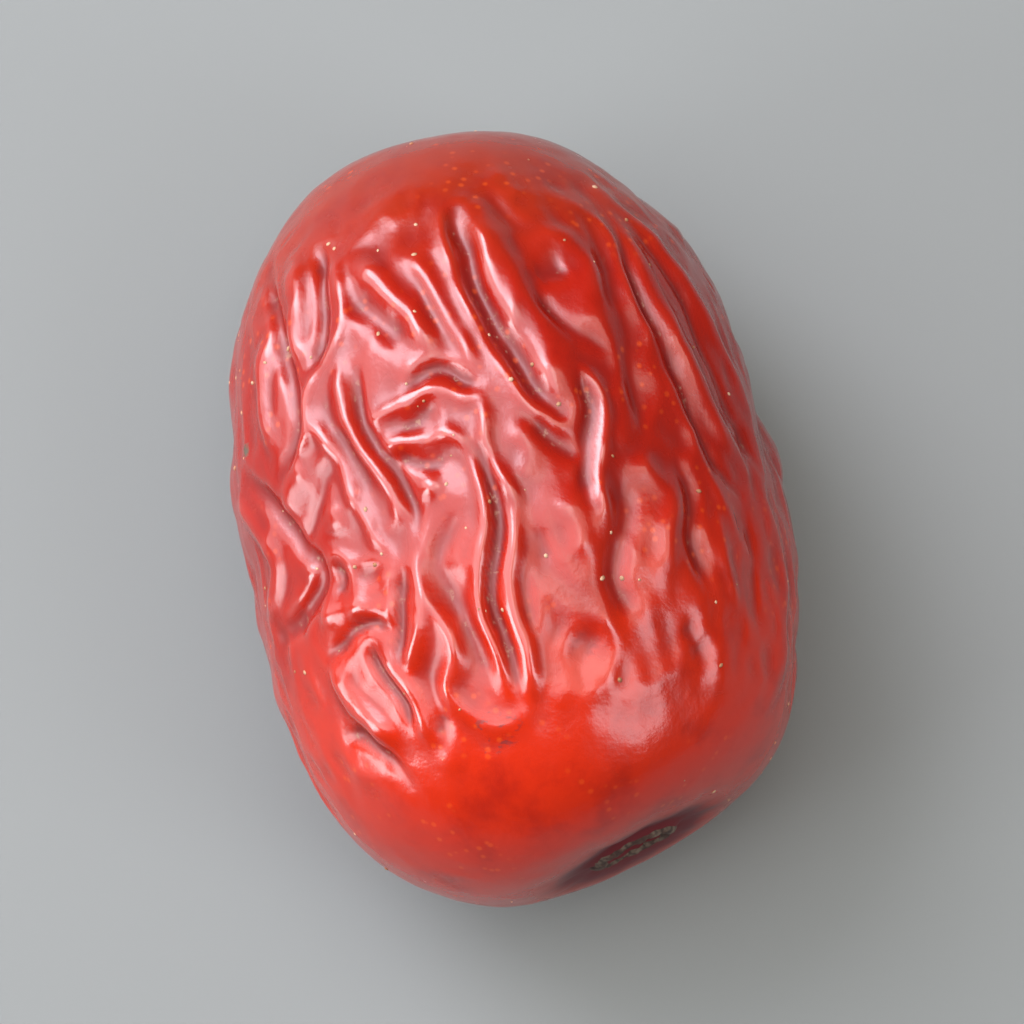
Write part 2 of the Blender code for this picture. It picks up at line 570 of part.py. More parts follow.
def shape_fruit(mesh):
    """Turns the ball into the wrinkled fruit, standing on its flat spot with its middle over the origin."""
    stretch = np.array([HALF_LENGTH, HALF_WIDTH, HALF_HEIGHT])
    ball = np.array([vertex.co for vertex in mesh.verts]) * stretch
    points = body_surface(ball / np.linalg.norm(ball, axis=1)[:, None])
    for vertex, point in zip(mesh.verts, points):
        vertex.co = point
    mesh.normal_update()
    normals = np.array([vertex.normal for vertex in mesh.verts])
    points = cut_askew(points) + normals * relief(points)[:, None]
    floor = FLAT_DEPTH - HALF_HEIGHT
    points[:, 2] = np.maximum(points[:, 2], floor) - floor
    middle = (points.min(axis=0) + points.max(axis=0)) / 2
    points[:, :2] -= middle[:2]
    for vertex, point in zip(mesh.verts, points):
        vertex.co = Vector(point) * METRES


def skin_material():
    """Dark red, glossy dried skin."""
    material = bpy.data.materials.new("dried_skin")
    material.use_nodes = True
    shader = material.node_tree.nodes["Principled BSDF"]
    shader.inputs["Base Color"].default_value = SKIN_COLOUR
    shader.inputs["Roughness"].default_value = SKIN_ROUGHNESS
    shader.inputs["Metallic"].default_value = 0.0
    return material


def make_fruit(cuts, faces_kept):
    """The whole fruit as one object, with its fine mesh thinned out where the skin is even."""
    mesh = round_cube(cuts)
    shape_fruit(mesh)
    bmesh.ops.triangulate(mesh, faces=mesh.faces)
    data = bpy.data.meshes.new("fruit")
    mesh.to_mesh(data)
    mesh.free()
    data.materials.append(skin_material())
    data.shade_smooth()
    fruit = bpy.data.objects.new("fruit", data)
    bpy.context.scene.collection.objects.link(fruit)
    thin_out = fruit.modifiers.new("thin_out", "DECIMATE")
    thin_out.ratio = faces_kept / len(data.polygons)
    return fruit


def main():
    for thing in list(bpy.data.objects):
        bpy.data.objects.remove(thing)
    make_fruit(CUTS, FACES_KEPT)


if __name__ == "__main__":
    main()
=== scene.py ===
"""The dressed model of one dried jujube, lying on its side on a plain pale floor.

The skin is the CAD fruit made again on a finer mesh, with the same folds and more of the fine ones, and a
glossy red finish with painted shade that darkens the creases, painted light that makes the crests lighter
orange, a stem half made lighter orange partly by its own tone and partly by painted light, and a dark stain
round the stem scar. The corky scar, the dry style tip and the flecks of dust are small pieces of their own.
Sizes are in millimetres until a mesh is finished.
"""

from __future__ import annotations

import logging
import math
import random
from dataclasses import dataclass, field
from enum import Enum
from typing import Union

import bmesh
import bpy
import numpy as np
from mathutils import Matrix, Quaternion, Vector, kdtree, noise
from mathutils.bvhtree import BVHTree


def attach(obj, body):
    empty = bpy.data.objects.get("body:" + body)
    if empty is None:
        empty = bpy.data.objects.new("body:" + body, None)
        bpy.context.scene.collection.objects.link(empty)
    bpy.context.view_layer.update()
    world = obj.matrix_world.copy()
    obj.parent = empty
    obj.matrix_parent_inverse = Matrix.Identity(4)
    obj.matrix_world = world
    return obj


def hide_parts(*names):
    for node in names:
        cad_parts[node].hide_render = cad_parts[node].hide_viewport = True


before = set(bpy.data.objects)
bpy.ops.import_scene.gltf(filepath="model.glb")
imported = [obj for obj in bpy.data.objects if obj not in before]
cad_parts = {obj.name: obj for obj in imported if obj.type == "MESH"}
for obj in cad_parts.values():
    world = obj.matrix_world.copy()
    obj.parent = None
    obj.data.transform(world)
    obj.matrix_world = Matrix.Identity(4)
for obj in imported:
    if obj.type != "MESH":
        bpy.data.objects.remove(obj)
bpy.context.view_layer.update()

log = logging.getLogger("jujube")

METRES = 0.001
FRUIT_NODE = "fruit"
BODY = "root"

# The cross sections of folds: flat ones rise past 1 and have a skirt, sharp ones fall off from a rounded top
FLAT_RISE = 1.15
FLAT_SKIRT = 0.15
SKIRT_REACH = 2.2
SHARP_FALL = 1.3
SHARP_ROUNDING = 0.25

Rows = np.ndarray
Number = Union[int, float]
Colour = tuple[float, float, float]


# The folds of the skin

class Shape(Enum):
    """The cross section of a fold."""

    RIB = "flat on top with steep sides"
    SWELL = "rounded"
    CREST = "sharp on top with hollow sides"
    FURROW = "a sharp crease between swollen sides"
    TROUGH = "flat at the bottom with steep sides"
    DIP = "a rounded hollow"

    @property
    def sinks(self) -> bool:
        """Whether the fold goes in."""
        return self in (Shape.FURROW, Shape.TROUGH, Shape.DIP)

    def profile(self, gap: Rows) -> Rows:
        """The share of its height that a fold has beside its line.

        Args:
            gap: how many half widths each point is from the line.

        Returns:
            About 1 on the line and 0 far from it, for each point.
        """
        if self in (Shape.RIB, Shape.TROUGH):
            return FLAT_RISE * np.exp(-(gap**3)) - FLAT_SKIRT * np.exp(-((gap / SKIRT_REACH) ** 2))
        if self in (Shape.CREST, Shape.FURROW):
            return np.exp(-SHARP_FALL * (np.hypot(gap, SHARP_ROUNDING) - SHARP_ROUNDING))
        return np.exp(-(gap**2))


@dataclass(frozen=True)
class Fold:
    """One fold of the skin.

    height is how far it stands out or sinks in, and breadth is its half width. route holds (to +Y, to +X)
    from the middle of the fruit as it is seen from above.
    """

    shape: Shape
    height: float
    breadth: float
    route: list[tuple[float, float]]


@dataclass(frozen=True)
class LaidFold:
    """A fold that lies on the body, with its route as rows of points."""

    shape: Shape
    height: float
    breadth: float
    points: Rows


HAIRPIN = [
    Fold(Shape.RIB, 0.48, 1.20, [(1.8, -16.2), (2.3, -14.0), (3.1, -11.0), (4.0, -8.0), (4.3, -5.5)]),
    Fold(Shape.TROUGH, 0.60, 0.62, [
        (0.8, -16.4), (0.8, -14.0), (1.3, -11.0), (2.2, -8.0), (2.9, -6.0), (3.6, -4.7),
    ]),
    Fold(Shape.CREST, 0.35, 0.45, [
        (1.8, -17.3), (0.4, -16.7), (-0.1, -15.4), (-0.1, -14.0), (0.2, -12.0), (0.6, -10.0),
        (1.2, -8.0), (2.1, -6.0), (3.2, -4.3), (4.1, -4.1), (4.8, -5.0),
    ]),
    Fold(Shape.SWELL, 0.35, 0.90, [
        (4.2, -14.3), (6.0, -13.8), (6.9, -12.0), (6.6, -10.0), (7.2, -8.3),
    ]),
    Fold(Shape.DIP, 0.45, 0.80, [(4.3, -12.3), (5.7, -12.4)]),
    Fold(Shape.FURROW, 0.40, 0.45, [(4.2, -11.2), (5.0, -9.7), (6.0, -8.5), (6.9, -7.5)]),
    Fold(Shape.CREST, 0.18, 0.60, [(3.6, -18.3), (4.3, -16.6)]),
    Fold(Shape.DIP, 0.12, 0.60, [(2.6, -17.5), (3.5, -15.5), (4.2, -14.9)]),
    Fold(Shape.DIP, 0.35, 0.80, [(7.9, -13.0), (8.3, -9.0), (8.2, -5.0), (7.6, -3.0)]),
]

RIGHT_SIDE = [
    Fold(Shape.RIB, 0.42, 0.75, [
        (9.2, -13.4), (9.9, -11.0), (10.6, -8.0), (11.3, -5.0), (12.0, -2.2), (12.8, 0.2),
    ]),
    Fold(Shape.FURROW, 0.50, 0.38, [
        (8.9, -13.6), (9.5, -10.0), (10.2, -6.5), (10.8, -3.0), (11.6, 0.0), (12.4, 1.6),
    ]),
    Fold(Shape.CREST, 0.30, 0.50, [
        (6.6, -16.6), (8.4, -13.8), (9.0, -10.0), (9.7, -6.0), (10.4, -2.4), (11.0, 1.0), (11.5, 4.0),
    ]),
    Fold(Shape.SWELL, 0.38, 0.80, [
        (8.6, -16.4), (10.9, -12.8), (12.4, -9.0), (13.4, -5.6), (14.0, -2.0),
    ]),
    Fold(Shape.FURROW, 0.38, 0.45, [
        (10.0, -13.5), (11.6, -9.8), (12.3, -6.0), (13.0, -3.0), (13.6, 0.5),
    ]),
    Fold(Shape.SWELL, 0.30, 0.80, [(13.9, -2.5), (13.5, 2.0), (13.6, 6.0), (12.7, 10.0), (11.0, 14.0)]),
    Fold(Shape.FURROW, 0.28, 0.50, [(12.4, 3.0), (12.2, 6.0), (11.6, 9.0)]),
]

UPPER_LEFT = [
    Fold(Shape.RIB, 0.42, 0.70, [
        (-4.9, -15.1), (-4.0, -13.6), (-3.2, -12.2), (-2.5, -10.9), (-1.9, -9.7),
    ]),
    Fold(Shape.DIP, 0.35, 0.80, [(-5.3, -13.4), (-4.5, -11.8), (-3.6, -10.4)]),
    Fold(Shape.SWELL, 0.32, 0.50, [
        (-1.9, -14.6), (-1.3, -12.6), (-0.8, -10.8), (-0.1, -9.0), (0.4, -8.2),
    ]),
    Fold(Shape.DIP, 0.20, 0.40, [(-2.4, -14.0), (-1.7, -12.0), (-1.2, -10.2)]),
    Fold(Shape.CREST, 0.42, 0.45, [
        (-6.0, -15.2), (-6.0, -13.4), (-6.6, -11.6), (-7.6, -10.4), (-8.6, -9.5), (-9.2, -8.2),
        (-9.3, -6.8), (-10.0, -5.8), (-10.8, -5.0),
    ]),
    Fold(Shape.TROUGH, 0.50, 0.45, [
        (-6.9, -16.2), (-7.0, -14.4), (-7.3, -12.6), (-7.9, -11.0), (-8.4, -10.0),
    ]),
    Fold(Shape.RIB, 0.42, 0.70, [(-8.4, -15.8), (-8.5, -13.6), (-9.0, -11.6), (-8.9, -10.4)]),
    Fold(Shape.TROUGH, 0.50, 0.50, [
        (-9.6, -16.0), (-9.8, -13.6), (-9.9, -11.4), (-9.8, -9.4), (-9.9, -7.4), (-10.6, -5.8),
        (-11.4, -4.8),
    ]),
    Fold(Shape.RIB, 0.42, 0.65, [(-10.4, -12.2), (-11.0, -10.4), (-11.4, -8.4), (-11.4, -6.2)]),
]

LEFT_EDGE = [
    Fold(Shape.RIB, 0.42, 0.70, [
        (-13.9, -4.2), (-13.3, -2.6), (-12.8, -0.8), (-13.0, 0.8), (-13.6, 3.0),
    ]),
    Fold(Shape.TROUGH, 0.50, 0.55, [
        (-13.2, -5.2), (-12.4, -3.6), (-11.8, -2.0), (-11.2, -0.7), (-10.6, 0.2), (-11.0, 1.6),
        (-12.2, 2.8), (-13.2, 3.6),
    ]),
    Fold(Shape.SWELL, 0.35, 0.80, [(-10.0, -5.2), (-11.2, -3.8), (-11.4, -2.6)]),
    Fold(Shape.FURROW, 0.48, 0.36, [(-8.7, -4.8), (-9.4, -3.8), (-10.3, -2.2), (-10.9, -1.3)]),
    Fold(Shape.SWELL, 0.30, 0.80, [(-9.0, -3.0), (-9.3, -1.4)]),
]

WINDING_MIDDLE = [
    Fold(Shape.CREST, 0.52, 0.42, [
        (-6.9, -10.0), (-7.2, -8.5), (-7.2, -7.0), (-6.9, -5.3), (-6.4, -3.8), (-5.9, -2.4),
        (-6.0, -1.3), (-6.5, -0.8),
    ]),
    Fold(Shape.TROUGH, 0.48, 0.36, [
        (-6.1, -9.3), (-6.4, -7.5), (-6.2, -6.0), (-5.7, -4.4), (-5.2, -3.0), (-4.9, -1.6),
        (-5.1, -0.5),
    ]),
    Fold(Shape.DIP, 0.35, 0.50, [(-7.9, -9.0), (-8.2, -7.5), (-7.7, -6.0), (-7.2, -4.3), (-6.8, -2.4)]),
    Fold(Shape.CREST, 0.45, 0.40, [
        (-9.2, -8.0), (-9.0, -7.0), (-8.5, -6.0), (-8.2, -5.0), (-8.1, -3.8), (-7.8, -2.6),
        (-7.5, -1.4), (-7.3, -0.4), (-6.3, 1.0),
    ]),
    Fold(Shape.TROUGH, 0.45, 0.40, [
        (-3.9, -7.8), (-3.2, -8.2), (-2.4, -8.5), (-1.6, -8.3), (-1.0, -7.7), (-0.2, -7.4),
    ]),
    Fold(Shape.CREST, 0.50, 0.40, [
        (-6.0, -6.7), (-5.2, -6.8), (-4.4, -7.0), (-3.6, -7.3), (-2.6, -7.5), (-1.8, -7.2),
        (-1.1, -6.8), (-0.2, -6.6),
    ]),
    Fold(Shape.CREST, 0.45, 0.40, [
        (-0.2, -6.6), (-0.1, -5.6), (-0.4, -4.2), (-0.3, -2.8), (0.3, -1.6), (0.7, -0.6),
    ]),
    Fold(Shape.CREST, 0.22, 0.45, [(-4.0, -8.8), (-2.8, -9.2), (-1.5, -8.9), (-0.3, -8.1)]),
    Fold(Shape.DIP, 0.35, 0.34, [(-4.8, -5.7), (-3.9, -5.9), (-3.3, -6.3), (-2.9, -6.5)]),
    Fold(Shape.CREST, 0.55, 0.40, [
        (-5.9, -4.9), (-5.2, -5.1), (-4.2, -5.1), (-3.2, -5.0), (-2.4, -5.1), (-1.8, -4.7),
        (-1.6, -4.0),
    ]),
    Fold(Shape.CREST, 0.58, 0.40, [
        (-1.6, -4.0), (-1.4, -3.0), (-1.1, -1.5), (-1.4, 0.0), (-1.9, 1.4), (-2.4, 2.8), (-2.7, 4.0),
        (-2.6, 5.4), (-2.3, 7.0), (-2.1, 8.6),
    ]),
    Fold(Shape.TROUGH, 0.38, 0.36, [(-5.1, -4.4), (-4.2, -3.9), (-3.2, -3.7), (-2.6, -4.1)]),
    Fold(Shape.SWELL, 0.38, 0.55, [(-3.8, -2.9), (-3.4, -2.3)]),
    Fold(Shape.TROUGH, 0.50, 0.38, [
        (-0.8, -3.8), (-0.7, -2.4), (-0.6, -1.2), (-0.7, 0.0), (-1.0, 1.4), (-1.6, 3.0), (-1.9, 4.4),
        (-1.8, 6.0), (-1.6, 8.2),
    ]),
    Fold(Shape.RIB, 0.42, 0.50, [
        (0.1, -0.2), (-0.2, 1.0), (-0.5, 2.4), (-0.7, 4.0), (-0.8, 5.6), (-0.7, 7.2), (-0.8, 8.6),
        (-1.1, 9.6),
    ]),
    Fold(Shape.DIP, 0.50, 0.65, [
        (-2.6, -0.8), (-3.6, 0.4), (-4.2, 1.8), (-4.0, 3.6), (-3.7, 5.2), (-3.3, 7.0), (-3.2, 8.6),
    ]),
    Fold(Shape.CREST, 0.48, 0.50, [
        (-5.3, 0.9), (-5.5, 2.2), (-5.4, 3.4), (-5.0, 4.6), (-4.5, 5.8), (-4.5, 7.0), (-5.2, 8.0),
        (-4.9, 9.0), (-4.1, 10.0), (-3.1, 10.6), (-2.1, 10.6), (-1.2, 10.0),
    ]),
    Fold(Shape.SWELL, 0.45, 0.60, [(-5.5, 2.4), (-5.8, 4.0), (-6.4, 5.6), (-7.0, 6.8)]),
    Fold(Shape.TROUGH, 0.48, 0.40, [(-6.2, 1.8), (-6.7, 3.0), (-7.0, 4.6), (-7.2, 6.0)]),
    Fold(Shape.CREST, 0.38, 0.35, [(-9.2, 0.0), (-8.5, 0.5), (-7.7, 0.6), (-7.0, 0.9), (-6.3, 1.2)]),
    Fold(Shape.CREST, 0.36, 0.35, [(-8.8, 2.2), (-7.6, 1.9), (-6.4, 1.3)]),
    Fold(Shape.FURROW, 0.30, 0.30, [(-8.6, 1.2), (-7.4, 1.3)]),
]

LOWER_LEFT = [
    Fold(Shape.CREST, 0.38, 0.32, [(-10.2, 0.2), (-9.5, -0.2), (-9.0, 0.5), (-9.0, 1.5), (-9.6, 2.1)]),
    Fold(Shape.FURROW, 0.38, 0.30, [(-9.8, 0.5), (-9.5, 1.1), (-9.9, 1.8)]),
    Fold(Shape.SWELL, 0.42, 0.80, [(-10.9, 3.6), (-10.4, 2.7), (-9.4, 2.6), (-8.2, 2.8)]),
    Fold(Shape.TROUGH, 0.42, 0.36, [(-10.9, 4.9), (-10.1, 4.5), (-9.3, 3.9), (-8.4, 3.8), (-7.6, 4.3)]),
    Fold(Shape.RIB, 0.50, 0.80, [(-10.5, 5.4), (-10.7, 6.6), (-10.1, 8.0), (-9.3, 9.3), (-8.6, 10.5)]),
    Fold(Shape.TROUGH, 0.48, 0.36, [(-8.9, 5.0), (-8.8, 6.0), (-8.3, 7.2), (-7.8, 8.4), (-7.6, 9.8)]),
    Fold(Shape.SWELL, 0.40, 0.60, [(-8.0, 5.2), (-7.8, 6.6), (-7.2, 8.0), (-7.0, 9.6), (-6.5, 11.0)]),
    Fold(Shape.SWELL, 0.40, 0.80, [(-6.3, 11.7), (-5.5, 12.5)]),
    Fold(Shape.TROUGH, 0.48, 0.55, [
        (-11.0, 9.3), (-10.2, 9.7), (-9.4, 10.8), (-8.8, 12.2), (-8.3, 13.6),
    ]),
    Fold(Shape.SWELL, 0.30, 0.80, [(-11.3, 10.8), (-10.0, 12.4), (-9.2, 14.4)]),
    Fold(Shape.FURROW, 0.25, 0.30, [(-4.4, 11.3), (-3.4, 11.6), (-2.6, 11.2)]),
    Fold(Shape.DIP, 0.30, 0.50, [(-5.9, 9.4), (-6.0, 10.6)]),
]

RIGHT_OF_MIDDLE = [
    Fold(Shape.SWELL, 0.32, 0.80, [(1.4, -4.8), (1.7, -3.0), (1.3, -1.6)]),
    Fold(Shape.DIP, 0.45, 0.60, [(2.5, -4.6), (3.3, -3.2), (4.3, -2.3)]),
    Fold(Shape.CREST, 0.50, 0.55, [
        (5.0, -7.2), (5.9, -6.0), (6.1, -4.6), (5.7, -3.0), (5.1, -1.6), (4.8, -0.3), (4.9, 0.6),
        (4.4, 1.2),
    ]),
    Fold(Shape.TROUGH, 0.48, 0.48, [(5.2, -6.1), (5.4, -4.6), (4.8, -3.0), (4.3, -1.6), (4.1, 0.0)]),
    Fold(Shape.SWELL, 0.30, 0.90, [(7.0, -5.6), (7.2, -3.8), (6.6, -2.0)]),
    Fold(Shape.SWELL, 0.32, 0.80, [(3.0, -0.4), (3.1, 1.2), (3.1, 2.8)]),
    Fold(Shape.DIP, 0.22, 0.50, [(1.2, 0.9), (1.3, 2.6)]),
    Fold(Shape.DIP, 0.30, 0.85, [(1.9, 7.0), (2.8, 8.0)]),
    Fold(Shape.SWELL, 0.22, 0.50, [(3.3, 5.9), (4.0, 7.2), (3.9, 8.6), (3.0, 9.8), (1.6, 10.2)]),
    Fold(Shape.SWELL, 0.18, 0.45, [(0.8, 7.5), (1.8, 6.4)]),
    Fold(Shape.DIP, 0.50, 0.75, [(6.2, -0.8), (6.0, 1.0), (5.2, 3.0), (4.8, 4.6), (5.2, 6.4)]),
    Fold(Shape.SWELL, 0.45, 0.75, [(6.9, -1.8), (7.9, -0.4), (8.4, 0.8), (8.1, 2.2), (7.5, 3.6), (7.0, 4.8)]),
    Fold(Shape.DIP, 0.48, 0.55, [(9.0, -1.4), (9.6, 1.0), (9.2, 3.4), (9.3, 6.0)]),
    Fold(Shape.CREST, 0.30, 0.50, [(10.6, 2.0), (10.4, 4.6), (10.9, 7.6)]),
    Fold(Shape.DIP, 0.25, 0.50, [(7.9, 7.6), (8.4, 9.6)]),
    Fold(Shape.SWELL, 0.20, 0.70, [(9.6, 8.6), (8.8, 12.0)]),
]

UPPER_FOLDS = HAIRPIN + RIGHT_SIDE + UPPER_LEFT + LEFT_EDGE + WINDING_MIDDLE + LOWER_LEFT + RIGHT_OF_MIDDLE


def ramp(value: Rows, start: float, end: float) -> Rows:
    """Eases from 0 before the start to 1 past the end."""
    share = np.clip((value - start) / (end - start), 0, 1)
    return share * share * (3 - 2 * share)


def smooth_most(a: Rows, b: Rows, blend: float = 0.08) -> Rows:
    """The greater of two arrays, rounded where they are nearly alike."""
    share = np.clip(0.5 + 0.5 * (a - b) / blend, 0, 1)
    return b + (a - b) * share + blend * share * (1 - share)


def noise_at(points: Rows, size: float, seed: float) -> Rows:
    """Smooth noise from about -1 to 1, whose lumps are about this size."""
    shift = Vector((seed, seed * 1.7, -seed))
    return np.array([noise.noise(Vector(point) + shift) for point in points / size])


def winding(points: Rows, size: float) -> Rows:
    """Smooth sideways shifts that change over about this size."""
    return np.array([noise.noise_vector(Vector(point)) for point in points / size])


def smooth_route(corners: list[Vector], spacing: float = 0.14) -> Rows:
    """Points along a smooth curve through the corners.

    Args:
        corners: the points that the curve passes through.
        spacing: about how far apart the new points are.

    Returns:
        The points as rows.
    """
    ends = [corners[0] * 2 - corners[1], *corners, corners[-1] * 2 - corners[-2]]
    points = []
    for a, b, c, d in zip(ends, ends[1:], ends[2:], ends[3:]):
        count = max(2, round((c - b).length / spacing))
        for k in range(count):
            t = k / count
            turn = (2 * a - 5 * b + 4 * c - d) * t**2 + (3 * b - a - 3 * c + d) * t**3
            points.append(0.5 * (2 * b + (c - a) * t + turn))
    points.append(corners[-1])
    return np.array(points)


# The plump body and its two ends

@dataclass(frozen=True)
class PlumpBody:
    """The fruit before it wrinkles: a barrel with a fuller stem end."""

    half_length: float = 21.2
    half_width: float = 14.5
    half_height: float = 13.9
    stem_end_fullness: float = 2.75
    style_end_fullness: float = 2.3
    sight: float = math.radians(10)  # the folds are placed as seen from this far off the vertical
    sight_rounds: int = 12

    def fullness(self, x: Rows) -> Rows:
        """How full the body is on this side of its middle, where an ellipse has 2."""
        return np.where(x > 0, self.stem_end_fullness, self.style_end_fullness)

    def surface(self, direction: Rows) -> Rows:
        """The body's point in each of the given directions.

        Args:
            direction: unit vectors as rows.

        Returns:
            The points as rows.
        """
        along = np.abs(direction[:, 0] / self.half_length)
        across = np.hypot(direction[:, 1] / self.half_width, direction[:, 2] / self.half_height)
        power = self.fullness(direction[:, 0])
        reach = (along**power + across**power) ** (-1 / power)
        return direction * reach[:, None]

    def girth_at(self, x: float) -> float:
        """The half width at this place along the axis, as a share of the greatest one."""
        power = float(self.fullness(x))
        return (1 - min(abs(x) / self.half_length, 0.999) ** power) ** (1 / power)

    def on_side(self, x: float, angle: float) -> Vector:
        """The point at this place along the axis, this far round from the top."""
        girth = self.girth_at(x)
        across, height = self.half_width * girth, self.half_height * girth
        return Vector((x, across * math.sin(angle), height * math.cos(angle)))

    def seen_from_above(self, to_right: float, to_stem: float) -> Vector:
        """The point of the upper side that is seen at a place of the sight plane.

        Args:
            to_right: the place towards +Y.
            to_stem: the place towards the stem end.

        Returns:
            The point, found by going back and forth between its height and its place along the fruit.
        """
        height = self.half_height
        for _ in range(self.sight_rounds):
            x = (to_stem + height * math.sin(self.sight)) / math.cos(self.sight)
            rise = max(self.girth_at(x) ** 2 - (to_right / self.half_width) ** 2, 0.0)
            height = self.half_height * math.sqrt(rise)
        return Vector((x, to_right, height))


@dataclass(frozen=True)
class StemEnd:
    """The stem end, cut off a little askew, with its hollow and the place of the corky scar."""

    turn: float = math.radians(21)
    rise: float = math.radians(6)
    sidestep: float = 2.8
    cut: float = 20.1
    cut_share: float = 0.85
    cut_blend: float = 1.5
    hollow_radius: float = 4.6
    hollow_depth: float = 1.5
    scar_radius: float = 1.45
    scar_stretch: float = 1.45
    ring_height: float = 0.55
    ring_width: float = 0.42
    pucker_count: float = 2.6
    pucker_height: float = 0.2
    far_off: float = 25.0

    @property
    def axis(self) -> Rows:
        """The way that the end faces."""
        level = math.cos(self.rise)
        return np.array([level * math.cos(self.turn), level * math.sin(self.turn), math.sin(self.rise)])

    @property
    def side(self) -> Rows:
        """Level along the cut, towards +Y."""
        return np.array([-math.sin(self.turn), math.cos(self.turn), 0.0])

    @property
    def up(self) -> Rows:
        """Up along the cut."""
        return np.cross(self.axis, self.side)

    @property
    def seat(self) -> Rows:
        """The middle of the cut."""
        return np.array([self.cut, self.sidestep, 0.0])

    def cut_askew(self, points: Rows) -> Rows:
        """Draws the points past the slanting cut back to it, by an even blend.

        Args:
            points: points of the body.

        Returns:
            The points after that.
        """
        past = (points - self.seat) @ self.axis
        drawn = self.cut_blend * np.logaddexp(0, past / self.cut_blend)
        return points - self.cut_share * drawn[:, None] * self.axis

    def places(self, points: Rows) -> tuple[Rows, Rows, Rows]:
        """Where each point lies on the cut.

        Args:
            points: points of the body.

        Returns:
            The place across the cut, the place up it, and an added distance for the other half of the fruit.
        """
        off = points - self.seat
        far = np.where(points[:, 0] > 0, 0.0, self.far_off)
        return off @ self.side, off @ self.up, far

    def nearness(self, points: Rows) -> Rows:
        """1 in the hollow and nearly 0 past its rim."""
        across, upward, far = self.places(points)
        return np.exp(-(((np.hypot(across, upward) + far) / self.hollow_radius) ** 4))

    def relief(self, points: Rows) -> Rows:
        """The hollow with its faint puckers and the raised ring under the scar.

        Args:
            points: points of the body.

        Returns:
            The height at each point.
        """
        across, upward, far = self.places(points)
        away = np.hypot(across, upward) + far
        gap = away / self.hollow_radius
        turned = np.column_stack([across, upward, gap]) / np.maximum(away, 0.01)[:, None]
        pucker = self.pucker_height * noise_at(turned, 1 / self.pucker_count, 2.3)
        pucker = pucker * gap**2 * np.exp(-((gap / 1.2) ** 4))
        oval = np.hypot(across / self.scar_stretch, upward) + far
        ring = self.ring_height * np.exp(-(((oval - self.scar_radius) / self.ring_width) ** 2))
        return pucker + ring - self.hollow_depth * np.exp(-(gap**2))


@dataclass(frozen=True)
class StyleEnd:
    """The dimple and the dry style at the end away from the stem."""

    direction: tuple[float, float, float] = (-1.0, 0.03, -0.05)
    dimple_radius: float = 2.2
    dimple_depth: float = 0.8
    style_radius: float = 0.5
    style_height: float = 0.5

    def gap(self, points: Rows, body: PlumpBody) -> Rows:
        """How far each point is from the middle of the dimple."""
        return np.linalg.norm(points - body.surface(np.array([self.direction])), axis=1)

    def relief(self, points: Rows, body: PlumpBody) -> Rows:
        """The dimple's depth and the style's height.

        Args:
            points: points of the body.
            body: the body that the end belongs to.

        Returns:
            The height at each point.
        """
        gap = self.gap(points, body)
        dimple = -self.dimple_depth * np.exp(-((gap / self.dimple_radius) ** 2))
        return dimple + self.style_height * np.exp(-((gap / self.style_radius) ** 2))


# The wrinkles

@dataclass(frozen=True)
class SeededFolds:
    """Long folds laid by rule over the sides and the underside, mostly along the fruit."""

    seed: int = 11
    tries: int = 2600
    step: float = 0.7
    gap: float = 2.0
    reach: tuple[float, float] = (9.0, 22.0)
    shortest: float = 7.0
    bounds: tuple[float, float] = (-18.0, 15.5)
    start_spread: float = 0.4
    bend_spread: float = 0.06
    turn_spread: float = 0.15
    least_radius: float = 4.0
    ridge_share: float = 0.55
    height: tuple[float, float] = (0.3, 0.45)
    breadth: tuple[float, float] = (0.8, 1.3)

    def wander(self, rng: random.Random, held: Rows, body: PlumpBody) -> list[Vector]:
        """One winding line along the body.

        Args:
            rng: where the random draws come from.
            held: the points of the lines already there, which the new one stops short of.
            body: what the line lies on.

        Returns:
            The line's points.
        """
        x = rng.uniform(*self.bounds)
        angle = rng.uniform(-math.pi, math.pi)
        heading = rng.gauss(0, self.start_spread) + (math.pi if rng.random() < 0.5 else 0)
        bend = rng.gauss(0, self.bend_spread)
        reach = rng.uniform(*self.reach)
        points = []
        while len(points) * self.step < reach and self.bounds[0] <= x <= self.bounds[1]:
            point = body.on_side(x, angle)
            if np.min(np.linalg.norm(held - np.array(point), axis=1)) < self.gap:
                break
            points.append(point)
            heading += bend + rng.gauss(0, self.turn_spread)
            x += self.step * math.cos(heading)
            angle += self.step * math.sin(heading) / max(math.hypot(point.y, point.z), self.least_radius)
        return points

    def lay(self, taken: list[LaidFold], body: PlumpBody) -> list[LaidFold]:
        """Lays the folds where the given ones leave room.

        Args:
            taken: the folds already on the body.
            body: what the new folds lie on.

        Returns:
            The new folds.
        """
        rng = random.Random(self.seed)
        held = np.concatenate([fold.points for fold in taken])
        folds = []
        for _ in range(self.tries):
            corners = self.wander(rng, held, body)
            if len(corners) * self.step < self.shortest:
                continue
            route = smooth_route(corners)
            held = np.concatenate([held, route])
            shape = Shape.SWELL if rng.random() < self.ridge_share else Shape.FURROW
            folds.append(LaidFold(shape, rng.uniform(*self.height), rng.uniform(*self.breadth), route))
        return folds


